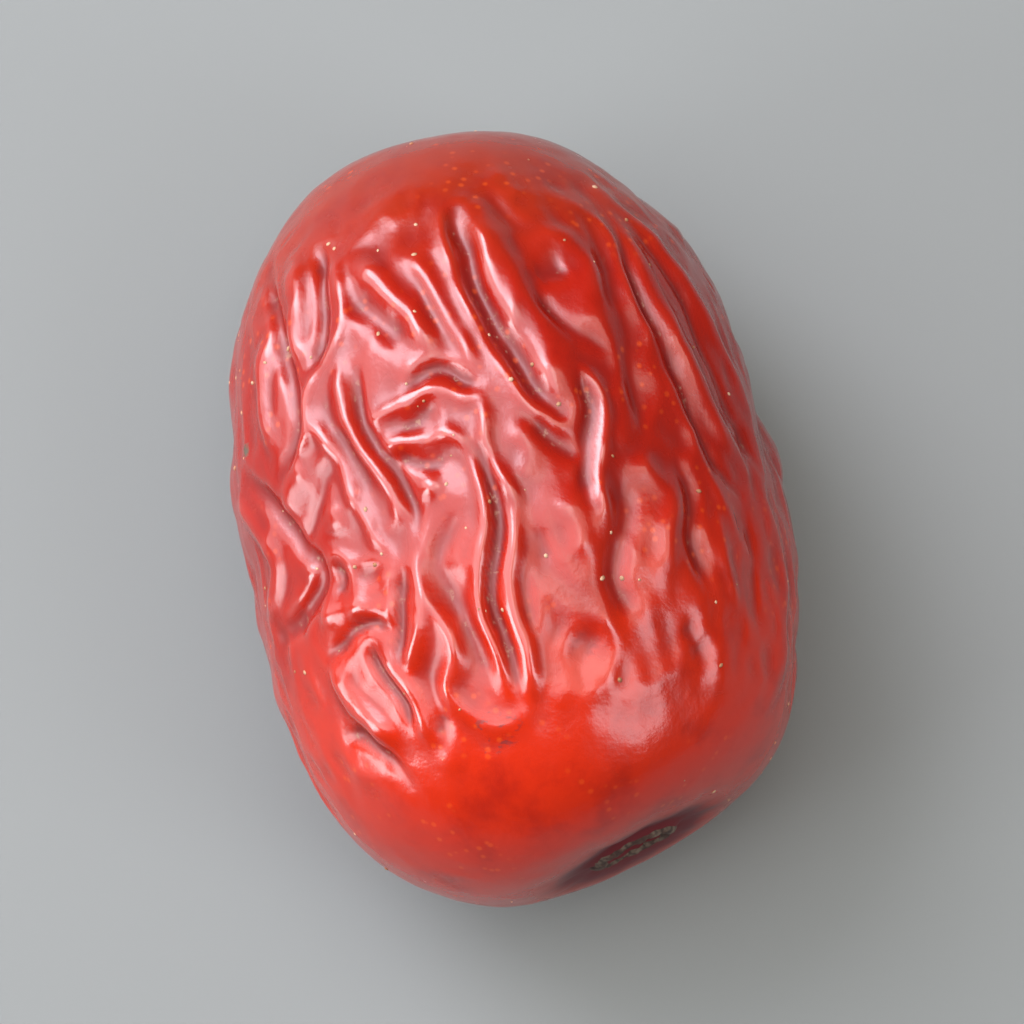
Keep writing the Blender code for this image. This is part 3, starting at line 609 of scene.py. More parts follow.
@dataclass(frozen=True)
class Swellings:
    """The swollen skin between the seeded folds, with sharp creases where the swellings meet."""

    size: float = 3.3
    height: float = 0.9
    stretch: float = 2.3
    winding: float = 1.5
    winding_size: float = 5.5
    clear: tuple[float, float] = (0.8, 3.0)
    ripple_size: float = 1.7
    ripple_height: float = 0.35
    crease_rounding: float = 0.05
    ripple_rounding: float = 0.06
    middle: float = 0.2

    def relief(self, points: Rows, given: list[LaidFold]) -> Rows:
        """The swellings' height.

        Args:
            points: points of the body.
            given: the folds that the swellings keep clear of.

        Returns:
            The height at each point.
        """
        wound = points + self.winding * winding(points, self.winding_size)
        drawn = wound / np.array([self.stretch, 1.0, 1.0])
        swell = self.height * (np.hypot(noise_at(drawn, self.size, 1.9), self.crease_rounding) - self.middle)
        ripple = np.hypot(noise_at(drawn, self.ripple_size, 5.3), self.ripple_rounding)
        ripple = self.ripple_height * (self.middle - ripple)
        return (swell + ripple) * ramp(self.distance_to(points, given), *self.clear)

    def distance_to(self, points: Rows, folds: list[LaidFold]) -> Rows:
        """How far each point is from the nearest fold.

        Args:
            points: points of the body.
            folds: the folds.

        Returns:
            The distances.
        """
        rows = np.concatenate([fold.points for fold in folds])
        tree = kdtree.KDTree(len(rows))
        for index, row in enumerate(rows):
            tree.insert(row, index)
        tree.balance()
        return np.array([tree.find(point)[2] for point in points])


@dataclass(frozen=True)
class Wrinkles:
    """All the relief of the skin, from broad dents down to fine crinkles."""

    body: PlumpBody
    stem_end: StemEnd
    style_end: StyleEnd
    seeded: SeededFolds = SeededFolds()
    swellings: Swellings = Swellings()
    seeded_below: tuple[float, float] = (4.0, -2.0)
    fold_reach: float = 4.5
    end_height: float = 0.35
    end_rise: float = 4.5
    flat_depth: float = 0.55
    pressed_depth: float = 3.2
    dent_size: float = 9.0
    dent_height: float = 0.45
    facet_size: float = 3.4
    facet_height: float = 0.14
    crinkle_size: float = 2.2
    crinkle_height: float = 0.13
    crinkle_stretch: float = 1.8
    wobble_size: float = 3.0
    wobble_reach: float = 0.3
    stem_end_smooth: tuple[float, float] = (11.0, 15.5)
    stem_end_calm: float = 0.85
    style_end_smooth: tuple[float, float] = (-15.5, -19.0)
    style_end_calm: float = 0.8

    @property
    def floor(self) -> float:
        """How high the flat spot lies, from the middle of the plump body."""
        return self.flat_depth - self.body.half_height

    def upper_folds(self) -> list[LaidFold]:
        """The folds of the upper side, laid on the body.

        Returns:
            The laid folds.
        """
        folds = []
        for fold in UPPER_FOLDS:
            corners = [self.body.seen_from_above(*place) for place in fold.route]
            folds.append(LaidFold(fold.shape, fold.height, fold.breadth, smooth_route(corners)))
        return folds

    def fold_relief(self, points: Rows, folds: list[LaidFold]) -> Rows:
        """The height that folds give the skin.

        Args:
            points: points of the body.
            folds: the folds, where the strongest ridge and the strongest furrow near a point count.

        Returns:
            The height at each point.
        """
        crest = np.zeros(len(points))
        furrow = np.zeros(len(points))
        for fold in folds:
            reach = self.fold_reach * fold.breadth
            low = fold.points.min(axis=0) - reach
            high = fold.points.max(axis=0) + reach
            near = np.nonzero(np.all((points > low) & (points < high), axis=1))[0]
            if not len(near):
                continue
            gaps = np.linalg.norm(points[near, None] - fold.points[None], axis=2)
            nearest = gaps.argmin(axis=1)
            gap = gaps[np.arange(len(near)), nearest] / fold.breadth
            along = nearest / (len(fold.points) - 1)
            fade = np.minimum(1, self.end_height + np.minimum(along, 1 - along) * self.end_rise)
            amount = fold.height * fade * fold.shape.profile(gap)
            side = furrow if fold.shape.sinks else crest
            side[near] = smooth_most(side[near], amount)
        return crest - furrow

    def crinkles(self, points: Rows) -> Rows:
        """Small sharp creases between the folds, drawn out along the fruit."""
        drawn = points / np.array([self.crinkle_stretch, 1.0, 1.0]) / self.crinkle_size
        return np.array([0.5 - 2 * abs(noise.fractal(Vector(point), 1.0, 2.0, 2)) for point in drawn])

    def relief(self, points: Rows) -> Rows:
        """How far the skin stands out of the plump body.

        Args:
            points: points of the body.

        Returns:
            The height at each point.
        """
        given = self.upper_folds()
        wobbled = points + self.wobble_reach * winding(points, self.wobble_size)
        wild = self.fold_relief(wobbled, self.seeded.lay(given, self.body))
        wild = wild + self.swellings.relief(points, given)
        facets = self.facet_height * noise_at(points, self.facet_size, 7.7)
        facets = facets + self.crinkle_height * self.crinkles(points)
        wrinkled = self.fold_relief(wobbled, given) + wild * ramp(points[:, 2], *self.seeded_below) + facets
        stem_calm = self.stem_end_calm * ramp(points[:, 0], *self.stem_end_smooth)
        style_calm = self.style_end_calm * ramp(points[:, 0], *self.style_end_smooth)
        dents = self.dent_height * noise_at(points, self.dent_size, 3.1)
        pressed = ramp(points[:, 2], self.floor, self.pressed_depth - self.body.half_height)
        skin = pressed * (dents + wrinkled * (1 - stem_calm - style_calm))
        return skin + self.stem_end.relief(points) + self.style_end.relief(points, self.body)


# Shader maths

@dataclass(frozen=True)
class Value:
    """A socket of a node tree that can stand in a sum."""

    graph: Graph
    socket: bpy.types.NodeSocket

    def __add__(self, other: Term) -> Value:
        """The sum."""
        return self.graph.maths("ADD", self, other)

    def __radd__(self, other: Term) -> Value:
        """The sum."""
        return self.graph.maths("ADD", other, self)

    def __sub__(self, other: Term) -> Value:
        """The difference."""
        return self.graph.maths("SUBTRACT", self, other)

    def __rsub__(self, other: Term) -> Value:
        """The difference."""
        return self.graph.maths("SUBTRACT", other, self)

    def __mul__(self, other: Term) -> Value:
        """The product."""
        return self.graph.maths("MULTIPLY", self, other)

    def __rmul__(self, other: Term) -> Value:
        """The product."""
        return self.graph.maths("MULTIPLY", other, self)

    def __truediv__(self, other: Term) -> Value:
        """The quotient."""
        return self.graph.maths("DIVIDE", self, other)

    def __rtruediv__(self, other: Term) -> Value:
        """The quotient."""
        return self.graph.maths("DIVIDE", other, self)


Term = Union[Value, Number]


class Graph:
    """The nodes of one material."""

    def __init__(self, name: str) -> None:
        """Makes the material with its Principled shader.

        Args:
            name: the material's name.
        """
        self.material = bpy.data.materials.new(name)
        self.material.use_nodes = True
        self.tree = self.material.node_tree
        self.shader = self.tree.nodes["Principled BSDF"]

    def node(self, kind: str, settings: dict, sockets: dict, output: Union[int, str] = 0) -> Value:
        """Adds a node, sets it up and feeds it.

        Args:
            kind: the node's type name.
            settings: the node's own properties, which are set first.
            sockets: a value or a link for each input, by name or number.
            output: which output to hand back.

        Returns:
            The output.
        """
        made = self.tree.nodes.new(kind)
        for name, value in settings.items():
            setattr(made, name, value)
        for name, value in sockets.items():
            self.feed(made.inputs[name], value)
        return Value(self, made.outputs[output])

    def feed(self, socket: bpy.types.NodeSocket, value: object) -> None:
        """Links a value to a socket, or sets a number or colour on it.

        Args:
            socket: the input.
            value: what goes into it.
        """
        if isinstance(value, Value):
            self.tree.links.new(value.socket, socket)
        elif isinstance(value, tuple) and socket.type == "RGBA":
            socket.default_value = (*value[:3], 1.0)
        else:
            socket.default_value = value

    def maths(self, operation: str, a: Term, b: Term) -> Value:
        """One Math node."""
        return self.node("ShaderNodeMath", {"operation": operation}, {0: a, 1: b})

    def place(self) -> Value:
        """The point's place on the object, in metres."""
        return self.node("ShaderNodeTexCoord", {}, {}, "Object")

    def axis(self, place: Value, name: str) -> Value:
        """One coordinate of a place."""
        return self.node("ShaderNodeSeparateXYZ", {}, {0: place}, name)

    def distance(self, place: Value, point: Vector) -> Value:
        """How far a place is from a fixed point, in metres."""
        return self.node("ShaderNodeVectorMath", {"operation": "DISTANCE"}, {0: place, 1: point}, "Value")

    def stretched(self, place: Value, stretch: tuple[float, float, float]) -> Value:
        """A place with each axis multiplied."""
        return self.node("ShaderNodeVectorMath", {"operation": "MULTIPLY"}, {0: place, 1: stretch})

    def lumps(self, place: Value, size: float, detail: float = 2.0, roughness: float = 0.5) -> Value:
        """Noise from 0 to 1 whose lumps are this many millimetres across."""
        sockets = {"Vector": place, "Scale": 1 / (size * METRES), "Detail": detail, "Roughness": roughness}
        return self.node("ShaderNodeTexNoise", {"noise_dimensions": "3D"}, sockets, "Fac")

    def cells(self, place: Value, size: float) -> Value:
        """How far a point is from the middle of its cell, where cells are this many millimetres across."""
        sockets = {"Vector": place, "Scale": 1 / (size * METRES)}
        return self.node("ShaderNodeTexVoronoi", {"feature": "F1"}, sockets, "Distance")

    def stored(self, name: str) -> Value:
        """A number that the mesh holds at each vertex."""
        return self.node("ShaderNodeAttribute", {"attribute_name": name}, {}, "Fac")

    def eased(self, value: Value, start: float, end: float) -> Value:
        """The value eased from 0 at the start to 1 at the end."""
        settings = {"interpolation_type": "SMOOTHSTEP"}
        return self.node("ShaderNodeMapRange", settings, {"Value": value, "From Min": start, "From Max": end})

    def mix(self, share: Term, a: Union[Value, Colour], b: Union[Value, Colour]) -> Value:
        """Blends two colours.

        Args:
            share: how much of the second colour there is, from 0 to 1.
            a: the first colour.
            b: the second colour.

        Returns:
            The blend.
        """
        made = self.tree.nodes.new("ShaderNodeMix")
        made.data_type = "RGBA"
        self.feed(made.inputs["Factor"], share)
        self.feed(made.inputs[6], a)
        self.feed(made.inputs[7], b)
        return Value(self, made.outputs[2])

    def bump(self, height: Value, distance: float) -> Value:
        """A normal raised by the height, where 1 stands this many millimetres proud."""
        return self.node("ShaderNodeBump", {}, {"Height": height, "Distance": distance * METRES}, "Normal")


@dataclass(frozen=True)
class SkinFinish:
    """Glossy orange red dried skin with painted light on the crests, painted shade in the creases and maroon
    round the scar.
    """

    orange: Colour = (0.42, 0.013, 0.0006)
    red: Colour = (0.26, 0.0045, 0.0005)
    brown: Colour = (0.25, 0.018, 0.0030)
    crimson: Colour = (0.185, 0.0016, 0.0010)
    # painted shade: the dark red laid into the creases
    painted_crease_shade: Colour = (0.135, 0.0012, 0.0012)
    maroon: Colour = (0.115, 0.0020, 0.0080)
    dust: Colour = (0.42, 0.30, 0.20)
    roughness: float = 0.24
    hollow_roughness: float = 0.55
    sheen_level: float = 0.55
    crest_coat: float = 0.9
    coat: float = 0.1
    coat_roughness: float = 0.12
    pebble_height: float = 0.030
    # partly the fruit's own tone and partly painted light: the stem half is made lighter orange
    stem_half: tuple[float, float] = (-1.0, 13.0)
    style_half: tuple[float, float] = (-9.0, -18.0)
    speckle: Colour = (0.62, 0.075, 0.006)
    speckle_size: float = 0.75
    scuff: Colour = (0.060, 0.004, 0.008)
    scuff_reach: float = 1.5
    scratch_size: float = 0.36
    scratch_stretch: tuple[float, float, float] = (1.0, 0.45, 1.0)
    mould: Colour = (0.060, 0.068, 0.042)
    mould_reach: float = 0.50

    def colour(self, graph: Graph, place: Value) -> Value:
        """The skin's colour, before any dust.

        Args:
            graph: the material's nodes.
            place: the point's place on the fruit.

        Returns:
            The colour.
        """
        crease = graph.stored("crease")
        crest = graph.stored("crest")
        along = graph.axis(place, "X")
        wander = 6 * METRES * (graph.lumps(place, 9.0) - 0.5)
        stem_half = graph.eased(along + wander, self.stem_half[0] * METRES, self.stem_half[1] * METRES)
        style_half = graph.eased(along + wander, self.style_half[0] * METRES, self.style_half[1] * METRES)
        blotch = graph.eased(graph.lumps(place, 3.2, 4.0, 0.6), 0.45, 0.75)
        # partly the fruit's own tone and partly painted light: red in the middle, lighter orange towards the
        # stem end
        colour = graph.mix(stem_half, self.red, self.orange)
        colour = graph.mix(0.75 * style_half, colour, self.brown)
        colour = graph.mix(0.5 * blotch, colour, self.crimson)
        # painted light: the crests made lighter orange, standing in for light glowing through the skin
        colour = graph.mix(0.3 * crest, colour, self.orange)
        # painted shade: the creases darkened to a dark wine red
        colour = graph.mix(0.85 * crease, colour, self.painted_crease_shade)
        dots = graph.eased(graph.cells(place, self.speckle_size), 0.30, 0.10)
        dots = dots * graph.eased(graph.lumps(place, 6.0), 0.5, 0.6)
        colour = graph.mix(0.35 * dots, colour, self.speckle)
        stain = graph.stored("stem") * (0.3 + 1.4 * graph.lumps(place, 1.5, 3.0, 0.6))
        return graph.mix(graph.eased(stain, 0.01, 0.55), colour, self.maroon)

    def spot(self, graph: Graph, place: Value, middle: Vector, reach: float, grain: float) -> Value:
        """A ragged spot round a point of the skin.

        Args:
            graph: the material's nodes.
            place: the point's place on the fruit.
            middle: the spot's middle, in metres.
            reach: how far it spreads, in millimetres.
            grain: how big its ragged pieces are, in millimetres.

        Returns:
            1 in the spot and 0 off it.
        """
        uneven = 1.6 * (graph.lumps(place, grain, 4.0, 0.7) - 0.5)
        return graph.eased(graph.distance(place, middle) / (reach * METRES) + uneven, 0.95, 0.60)

    def make(self, scuffed: Vector, moulded: Vector) -> bpy.types.Material:
        """Builds the material.

        Args:
            scuffed: where the skin is scuffed, in metres.
            moulded: where there is a small grey green spot, in metres.

        Returns:
            The material.
        """
        graph = Graph("dried_skin_gloss")
        place = graph.place()
        crease = graph.stored("crease")
        stem = graph.stored("stem")
        dirt = graph.eased(graph.lumps(place, 0.5, 3.0, 0.7), 0.56, 0.70) * graph.eased(crease, 0.55, 0.95)
        streak = graph.lumps(graph.stretched(place, (0.4, 1.0, 1.0)), 1.8, 3.0)
        drawn = graph.stretched(place, self.scratch_stretch)
        scratch = graph.eased(graph.lumps(drawn, self.scratch_size, 3.0, 0.6), 0.54, 0.62)
        scuff = scratch * self.spot(graph, place, scuffed, self.scuff_reach, 0.8)
        mould = self.spot(graph, place, moulded, self.mould_reach, 0.3)
        colour = graph.mix(0.35 * dirt, self.colour(graph, place), self.dust)
        colour = graph.mix(0.55 * scuff, colour, self.scuff)
        colour = graph.mix(0.9 * mould, colour, self.mould)
        roughness = self.roughness + 0.14 * (streak - 0.5) + 0.25 * crease + 0.25 * dirt
        roughness = roughness + 0.12 * scuff + 0.5 * mould
        pebble = graph.lumps(place, 0.7, 3.0, 0.6)
        graph.feed(graph.shader.inputs["Base Color"], colour)
        graph.feed(graph.shader.inputs["Roughness"], roughness + self.hollow_roughness * stem)
        coat = self.coat + self.crest_coat * graph.eased(graph.stored("crest"), 0.15, 0.85)
        graph.feed(graph.shader.inputs["Coat Weight"], coat * (1 - stem))
        graph.feed(graph.shader.inputs["Coat Roughness"], self.coat_roughness)
        graph.feed(graph.shader.inputs["Specular IOR Level"], self.sheen_level)
        graph.feed(graph.shader.inputs["Normal"], graph.bump(pebble, self.pebble_height))
        return graph.material


@dataclass(frozen=True)
class CorkFinish:
    """Dry, granular cork, grey brown with dark pits."""

    name: str = "scar_cork"
    grey: Colour = (0.13, 0.095, 0.070)
    brown: Colour = (0.060, 0.030, 0.022)
    pit: Colour = (0.022, 0.009, 0.008)
    grain: float = 0.28
    roughness: float = 0.85

    def make(self) -> bpy.types.Material:
        """Builds the material.

        Returns:
            The material.
        """
        graph = Graph(self.name)
        place = graph.place()
        grain = graph.cells(place, self.grain)
        patch = graph.eased(graph.lumps(place, 0.8, 3.0), 0.4, 0.6)
        colour = graph.mix(patch, self.grey, self.brown)
        colour = graph.mix(0.7 * graph.eased(grain, 0.4, 0.8), colour, self.pit)
        graph.feed(graph.shader.inputs["Base Color"], colour)
        graph.feed(graph.shader.inputs["Roughness"], self.roughness)
        graph.feed(graph.shader.inputs["Normal"], graph.bump(1 - grain, 0.05))
        return graph.material


@dataclass(frozen=True)
class DustFinish:
    """Pale grit and dry skin crumbs."""

    pale: Colour = (0.50, 0.32, 0.20)
    tan: Colour = (0.30, 0.13, 0.06)
    roughness: float = 0.9

    def make(self) -> bpy.types.Material:
        """Builds the material.

        Returns:
            The material.
        """
        graph = Graph("pale_dust")
        place = graph.place()
        colour = graph.mix(graph.eased(graph.lumps(place, 1.5, 1.0), 0.4, 0.6), self.pale, self.tan)
        graph.feed(graph.shader.inputs["Base Color"], colour)
        graph.feed(graph.shader.inputs["Roughness"], self.roughness)
        graph.feed(graph.shader.inputs["Normal"], graph.bump(graph.lumps(place, 0.1), 0.02))
        return graph.material


@dataclass(frozen=True)
class FloorFinish:
    """The plain pale floor."""

    colour: Colour = (0.16, 0.172, 0.168)
    roughness: float = 0.6

    def make(self) -> bpy.types.Material:
        """Builds the material.

        Returns:
            The material.
        """
        graph = Graph("pale_floor")
        graph.feed(graph.shader.inputs["Base Color"], self.colour)
        graph.feed(graph.shader.inputs["Roughness"], self.roughness)
        return graph.material


# The pieces

def add_piece(name: str, mesh: bmesh.types.BMesh, material: bpy.types.Material) -> bpy.types.Object:
    """Makes an object of a finished mesh, in metres, at the origin.

    Args:
        name: the piece's name.
        mesh: its shape, which is freed.
        material: its finish.

    Returns:
        The object.
    """
    data = bpy.data.meshes.new(name)
    mesh.to_mesh(data)
    mesh.free()
    data.materials.append(material)
    data.shade_smooth()
    piece = bpy.data.objects.new(name, data)
    bpy.context.scene.collection.objects.link(piece)
    return piece


class Skin:
    """The whole wrinkled skin of the fruit."""

    def __init__(self, body: PlumpBody, stem_end: StemEnd, style_end: StyleEnd, finish: SkinFinish) -> None:
        """Keeps what the skin is made from.

        Args:
            body: the plump body.
            stem_end: the end with the hollow.
            style_end: the end with the dimple.
            finish: the skin's look.
        """
        self.body = body
        self.stem_end = stem_end
        self.style_end = style_end
        self.finish = finish
        self.wrinkles = Wrinkles(body, stem_end, style_end)
        self.cuts = 128
        self.soften_rounds = 4
        self.even_rounds = 26
        self.full_depth = 0.22
        self.moved = np.zeros(3)
        self.surface = None
        self.scuffed = (-3.3, 10.8)
        self.moulded = (-12.9, -6.6)

    def build(self) -> bpy.types.Object:
        """Makes the skin in the CAD fruit's place.

        Returns:
            The piece.
        """
        mesh = self.round_cube()
        self.shape(mesh)
        self.surface = BVHTree.FromBMesh(mesh)
        material = self.finish.make(self.mark(self.scuffed), self.mark(self.moulded))
        piece = add_piece("wrinkled_skin", mesh, material)
        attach(piece, BODY)
        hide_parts(FRUIT_NODE)
        return piece

    def round_cube(self) -> bmesh.types.BMesh:
        """A cube cut into a grid and blown up to a ball.

        Returns:
            The ball, whose faces are all nearly as large.
        """
        mesh = bmesh.new()
        bmesh.ops.create_cube(mesh, size=2.0)
        bmesh.ops.subdivide_edges(mesh, edges=mesh.edges, cuts=self.cuts, use_grid_fill=True)
        for vertex in mesh.verts:
            spread = [math.tan(part * math.pi / 4) for part in vertex.co]
            vertex.co = Vector(spread).normalized()
        return mesh

    def shape(self, mesh: bmesh.types.BMesh) -> None:
        """Turns the ball into the wrinkled fruit, standing on its flat spot with its middle over the origin.

        Args:
            mesh: the ball, which ends up in metres.
        """
        stretch = np.array([self.body.half_length, self.body.half_width, self.body.half_height])
        ball = np.array([vertex.co for vertex in mesh.verts]) * stretch
        points = self.body.surface(ball / np.linalg.norm(ball, axis=1)[:, None])
        for vertex, point in zip(mesh.verts, points):
            vertex.co = point
        mesh.normal_update()
        normals = np.array([vertex.normal for vertex in mesh.verts])
        heights = self.wrinkles.relief(points)
        self.store(mesh, points, heights)
        points = self.stem_end.cut_askew(points) + normals * heights[:, None]
        points[:, 2] = np.maximum(points[:, 2], self.wrinkles.floor)
        middle = (points.min(axis=0) + points.max(axis=0)) / 2
        self.moved = -np.array([middle[0], middle[1], self.wrinkles.floor])
        for vertex, point in zip(mesh.verts, points + self.moved):
            vertex.co = Vector(point) * METRES
        for _ in range(self.soften_rounds):
            bmesh.ops.smooth_vert(
                mesh, verts=mesh.verts, factor=0.5, use_axis_x=True, use_axis_y=True, use_axis_z=True
            )

    def mark(self, place: tuple[float, float]) -> Vector:
        """The point of the finished upper side that is seen at this place from above, in metres."""
        return (self.body.seen_from_above(*place) + Vector(self.moved)) * METRES

    def touch(self, start: Rows, towards: Rows) -> tuple[Rows, Rows]:
        """Where a line meets the skin.

        Args:
            start: where the line begins, in millimetres of the finished fruit.
            towards: the way that it runs.

        Returns:
            The point on the skin in millimetres, and the skin's normal there.
        """
        point, normal, _, _ = self.surface.ray_cast(Vector(start) * METRES, Vector(towards))
        return np.array(point) / METRES, np.array(normal)

    def store(self, mesh: bmesh.types.BMesh, points: Rows, heights: Rows) -> None:
        """Writes what the finish needs to each vertex: creases, crests and how near the stem scar is.

        Args:
            mesh: the fruit's mesh.
            points: its points on the plump body.
            heights: how far each stands out of the body.
        """
        evened = self.evened(mesh, heights, self.even_rounds)
        below = np.clip((evened - heights) / self.full_depth, 0, 1)
        above = np.clip((heights - evened) / self.full_depth, 0, 1)
        stored = {"crease": below, "crest": above, "stem": self.stem_end.nearness(points)}
        for name, numbers in stored.items():
            layer = mesh.verts.layers.float.new(name)
            for vertex, number in zip(mesh.verts, numbers):
                vertex[layer] = number

    def evened(self, mesh: bmesh.types.BMesh, heights: Rows, rounds: int) -> Rows:
        """Evens out heights with their neighbours'.

        Args:
            mesh: the fruit's mesh.
            heights: the height at each vertex.
            rounds: how many times it is done.

        Returns:
            The evened heights.
        """
        mesh.verts.index_update()
        pairs = np.array([[vertex.index for vertex in edge.verts] for edge in mesh.edges])
        ends = np.concatenate([pairs[:, 0], pairs[:, 1]])
        others = np.concatenate([pairs[:, 1], pairs[:, 0]])
        degree = np.bincount(ends, minlength=len(heights))
        for _ in range(rounds):
            heights = 0.5 * heights + 0.5 * np.bincount(ends, heights[others], minlength=len(degree)) / degree
        return heights


@dataclass
class ScarRing:
    """The ring of dry, granular cork that the stalk left behind.

    radius is to the middle of the band up the cut, stretch how much longer the ring is across it, and
    width and height are the band's half width and how far it stands off the skin.
    """

    skin: Skin
    finish: CorkFinish
    radius: float = 1.45
    stretch: float = 1.45
    width: float = 0.32
    height: float = 0.24
    sunk: float = 0.10
    turns: int = 150
    rounds: int = 18
    clear: float = 8.0
    lump_size: float = 0.55
    lump_height: float = 0.13
    grain_size: float = 0.22
    grain_height: float = 0.05

    def build(self) -> bpy.types.Object:
        """Spins the band, lays it on the skin and roughens it.

        Returns:
            The piece.
        """
        mesh = self.band()
        self.lay(mesh)
        mesh.normal_update()
        self.roughen(mesh)
        piece = add_piece("scar_ring", mesh, self.finish.make())
        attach(piece, BODY)
        return piece

    def band(self) -> bmesh.types.BMesh:
        """Spins a flattened round into a ring.

        Returns:
            The ring round the vertical, in millimetres.
        """
        mesh = bmesh.new()
        upright = Matrix.Rotation(math.pi / 2, 4, "X")
        ring = bmesh.ops.create_circle(mesh, segments=self.rounds, radius=1.0, matrix=upright)
        bmesh.ops.scale(mesh, verts=ring["verts"], vec=(self.width, 1.0, self.height))
        bmesh.ops.translate(mesh, verts=ring["verts"], vec=(self.radius, 0.0, 0.0))
        bmesh.ops.spin(
            mesh,
            geom=list(mesh.edges),
            cent=(0, 0, 0),
            axis=(0, 0, 1),
            angle=math.tau,
            steps=self.turns,
            use_merge=True,
        )
        bmesh.ops.recalc_face_normals(mesh, faces=mesh.faces)
        return mesh

    def lay(self, mesh: bmesh.types.BMesh) -> None:
        """Bends the ring to an oval that follows the skin of the stem hollow.

        Args:
            mesh: the ring, which ends up in metres.
        """
        end = self.skin.stem_end
        middle = end.seat + self.skin.moved
        for vertex in mesh.verts:
            across, upward, out = vertex.co.x * self.stretch, vertex.co.y, vertex.co.z
            flat = middle + across * end.side + upward * end.up
            ground, _ = self.skin.touch(flat + self.clear * end.axis, -end.axis)
            vertex.co = Vector(ground + (out - self.sunk) * end.axis) * METRES

    def roughen(self, mesh: bmesh.types.BMesh) -> None:
        """Raises uneven lumps and small grains.

        Args:
            mesh: the ring in metres.
        """
        points = np.array([vertex.co for vertex in mesh.verts]) / METRES
        lift = self.lump_height * noise_at(points, self.lump_size, 4.1)
        lift = lift + self.grain_height * noise_at(points, self.grain_size, 8.3)
        for vertex, amount in zip(mesh.verts, lift):
            vertex.co += vertex.normal * float(amount) * METRES


@dataclass
class StyleTip:
    """The dry tip that the flower left, a small rough nub in the dimple."""

    skin: Skin
    finish: CorkFinish
    radius: float = 0.70
    height: float = 0.38
    clear: float = 8.0
    lump_size: float = 0.45
    lump_height: float = 0.22

    def build(self) -> bpy.types.Object:
        """Makes the nub at the bottom of the dimple.

        Returns:
            The piece.
        """
        out = np.array(self.skin.style_end.direction)
        out = out / np.linalg.norm(out)
        seat = self.skin.body.surface(out[None])[0] + self.skin.moved
        ground, _ = self.skin.touch(seat + self.clear * out, -out)
        mesh = bmesh.new()
        nub = bmesh.ops.create_icosphere(mesh, subdivisions=4, radius=1.0)["verts"]
        rough = 1 + self.lump_height * noise_at(np.array([vertex.co for vertex in nub]), self.lump_size, 6.1)
        turned = Vector(out).to_track_quat("Z", "Y")
        for vertex, share in zip(nub, rough):
            local = Vector((vertex.co.x * self.radius, vertex.co.y * self.radius, vertex.co.z * self.height))
            vertex.co = (Vector(ground) + turned @ local * float(share)) * METRES
        piece = add_piece("style_tip", mesh, self.finish.make())
        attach(piece, BODY)
        return piece


@dataclass
class Dust:
    """Flecks of pale grit and dry skin that cling to the fruit, most of them on its upper side."""

    skin: Skin
    finish: DustFinish
    count: int = 110
    seed: int = 5
    size: tuple[float, float] = (0.05, 0.15)
    flat: tuple[float, float] = (0.35, 0.8)
    lowest: float = -0.55
    clear: float = 10.0

    def build(self) -> bpy.types.Object:
        """Scatters the flecks.

        Returns:
            The piece.
        """
        rng = random.Random(self.seed)
        mesh = bmesh.new()
        for _ in range(self.count):
            self.add_fleck(mesh, rng)
        piece = add_piece("dust", mesh, self.finish.make())
        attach(piece, BODY)
        return piece

    def add_fleck(self, mesh: bmesh.types.BMesh, rng: random.Random) -> None:
        """One fleck, half sunk in the skin and turned at random.

        Args:
            mesh: where it is added.
            rng: where the random draws come from.
        """
        towards = self.direction(rng)
        middle = np.array([0.0, 0.0, self.skin.moved[2]])
        out = self.skin.body.surface(towards[None])[0]
        ground, normal = self.skin.touch(middle + out + self.clear * towards, -towards)
        size = rng.uniform(*self.size)
        shape = Matrix.Diagonal((size * rng.uniform(0.7, 1.6), size, size * rng.uniform(*self.flat), 1.0))
        turned = Vector(normal).to_track_quat("Z", "Y").to_matrix().to_4x4()
        spun = Matrix.Rotation(rng.uniform(0, math.tau), 4, "Z")
        place = Matrix.Scale(METRES, 4) @ Matrix.Translation(Vector(ground)) @ turned @ spun @ shape
        bmesh.ops.create_icosphere(mesh, subdivisions=1, radius=1.0, matrix=place)

    def direction(self, rng: random.Random) -> Rows:
        """A way out of the fruit that doesn't point too far down.

        Args:
            rng: where the random draws come from.

        Returns:
            The unit vector.
        """
        while True:
            drawn = np.array([rng.gauss(0, 1), rng.gauss(0, 1), rng.gauss(0.3, 1)])
            drawn = drawn / np.linalg.norm(drawn)
            if drawn[2] > self.lowest:
                return drawn


@dataclass(frozen=True)
class SoftBox:
    """A rectangular light that faces the fruit.

    to_right and to_style say how far it leans from overhead, in degrees, towards +Y and towards -X.
    width is across the fruit and length along it, in metres. glow is how bright its face is.
    """

    name: str
    to_right: float
    to_style: float
    distance: float
    width: float
    length: float
    glow: float
    colour: Colour

    @property
    def towards(self) -> Vector:
        """The way from the fruit to the light."""
        lean = Vector((-math.tan(math.radians(self.to_style)), math.tan(math.radians(self.to_right)), 1.0))
        return lean.normalized()


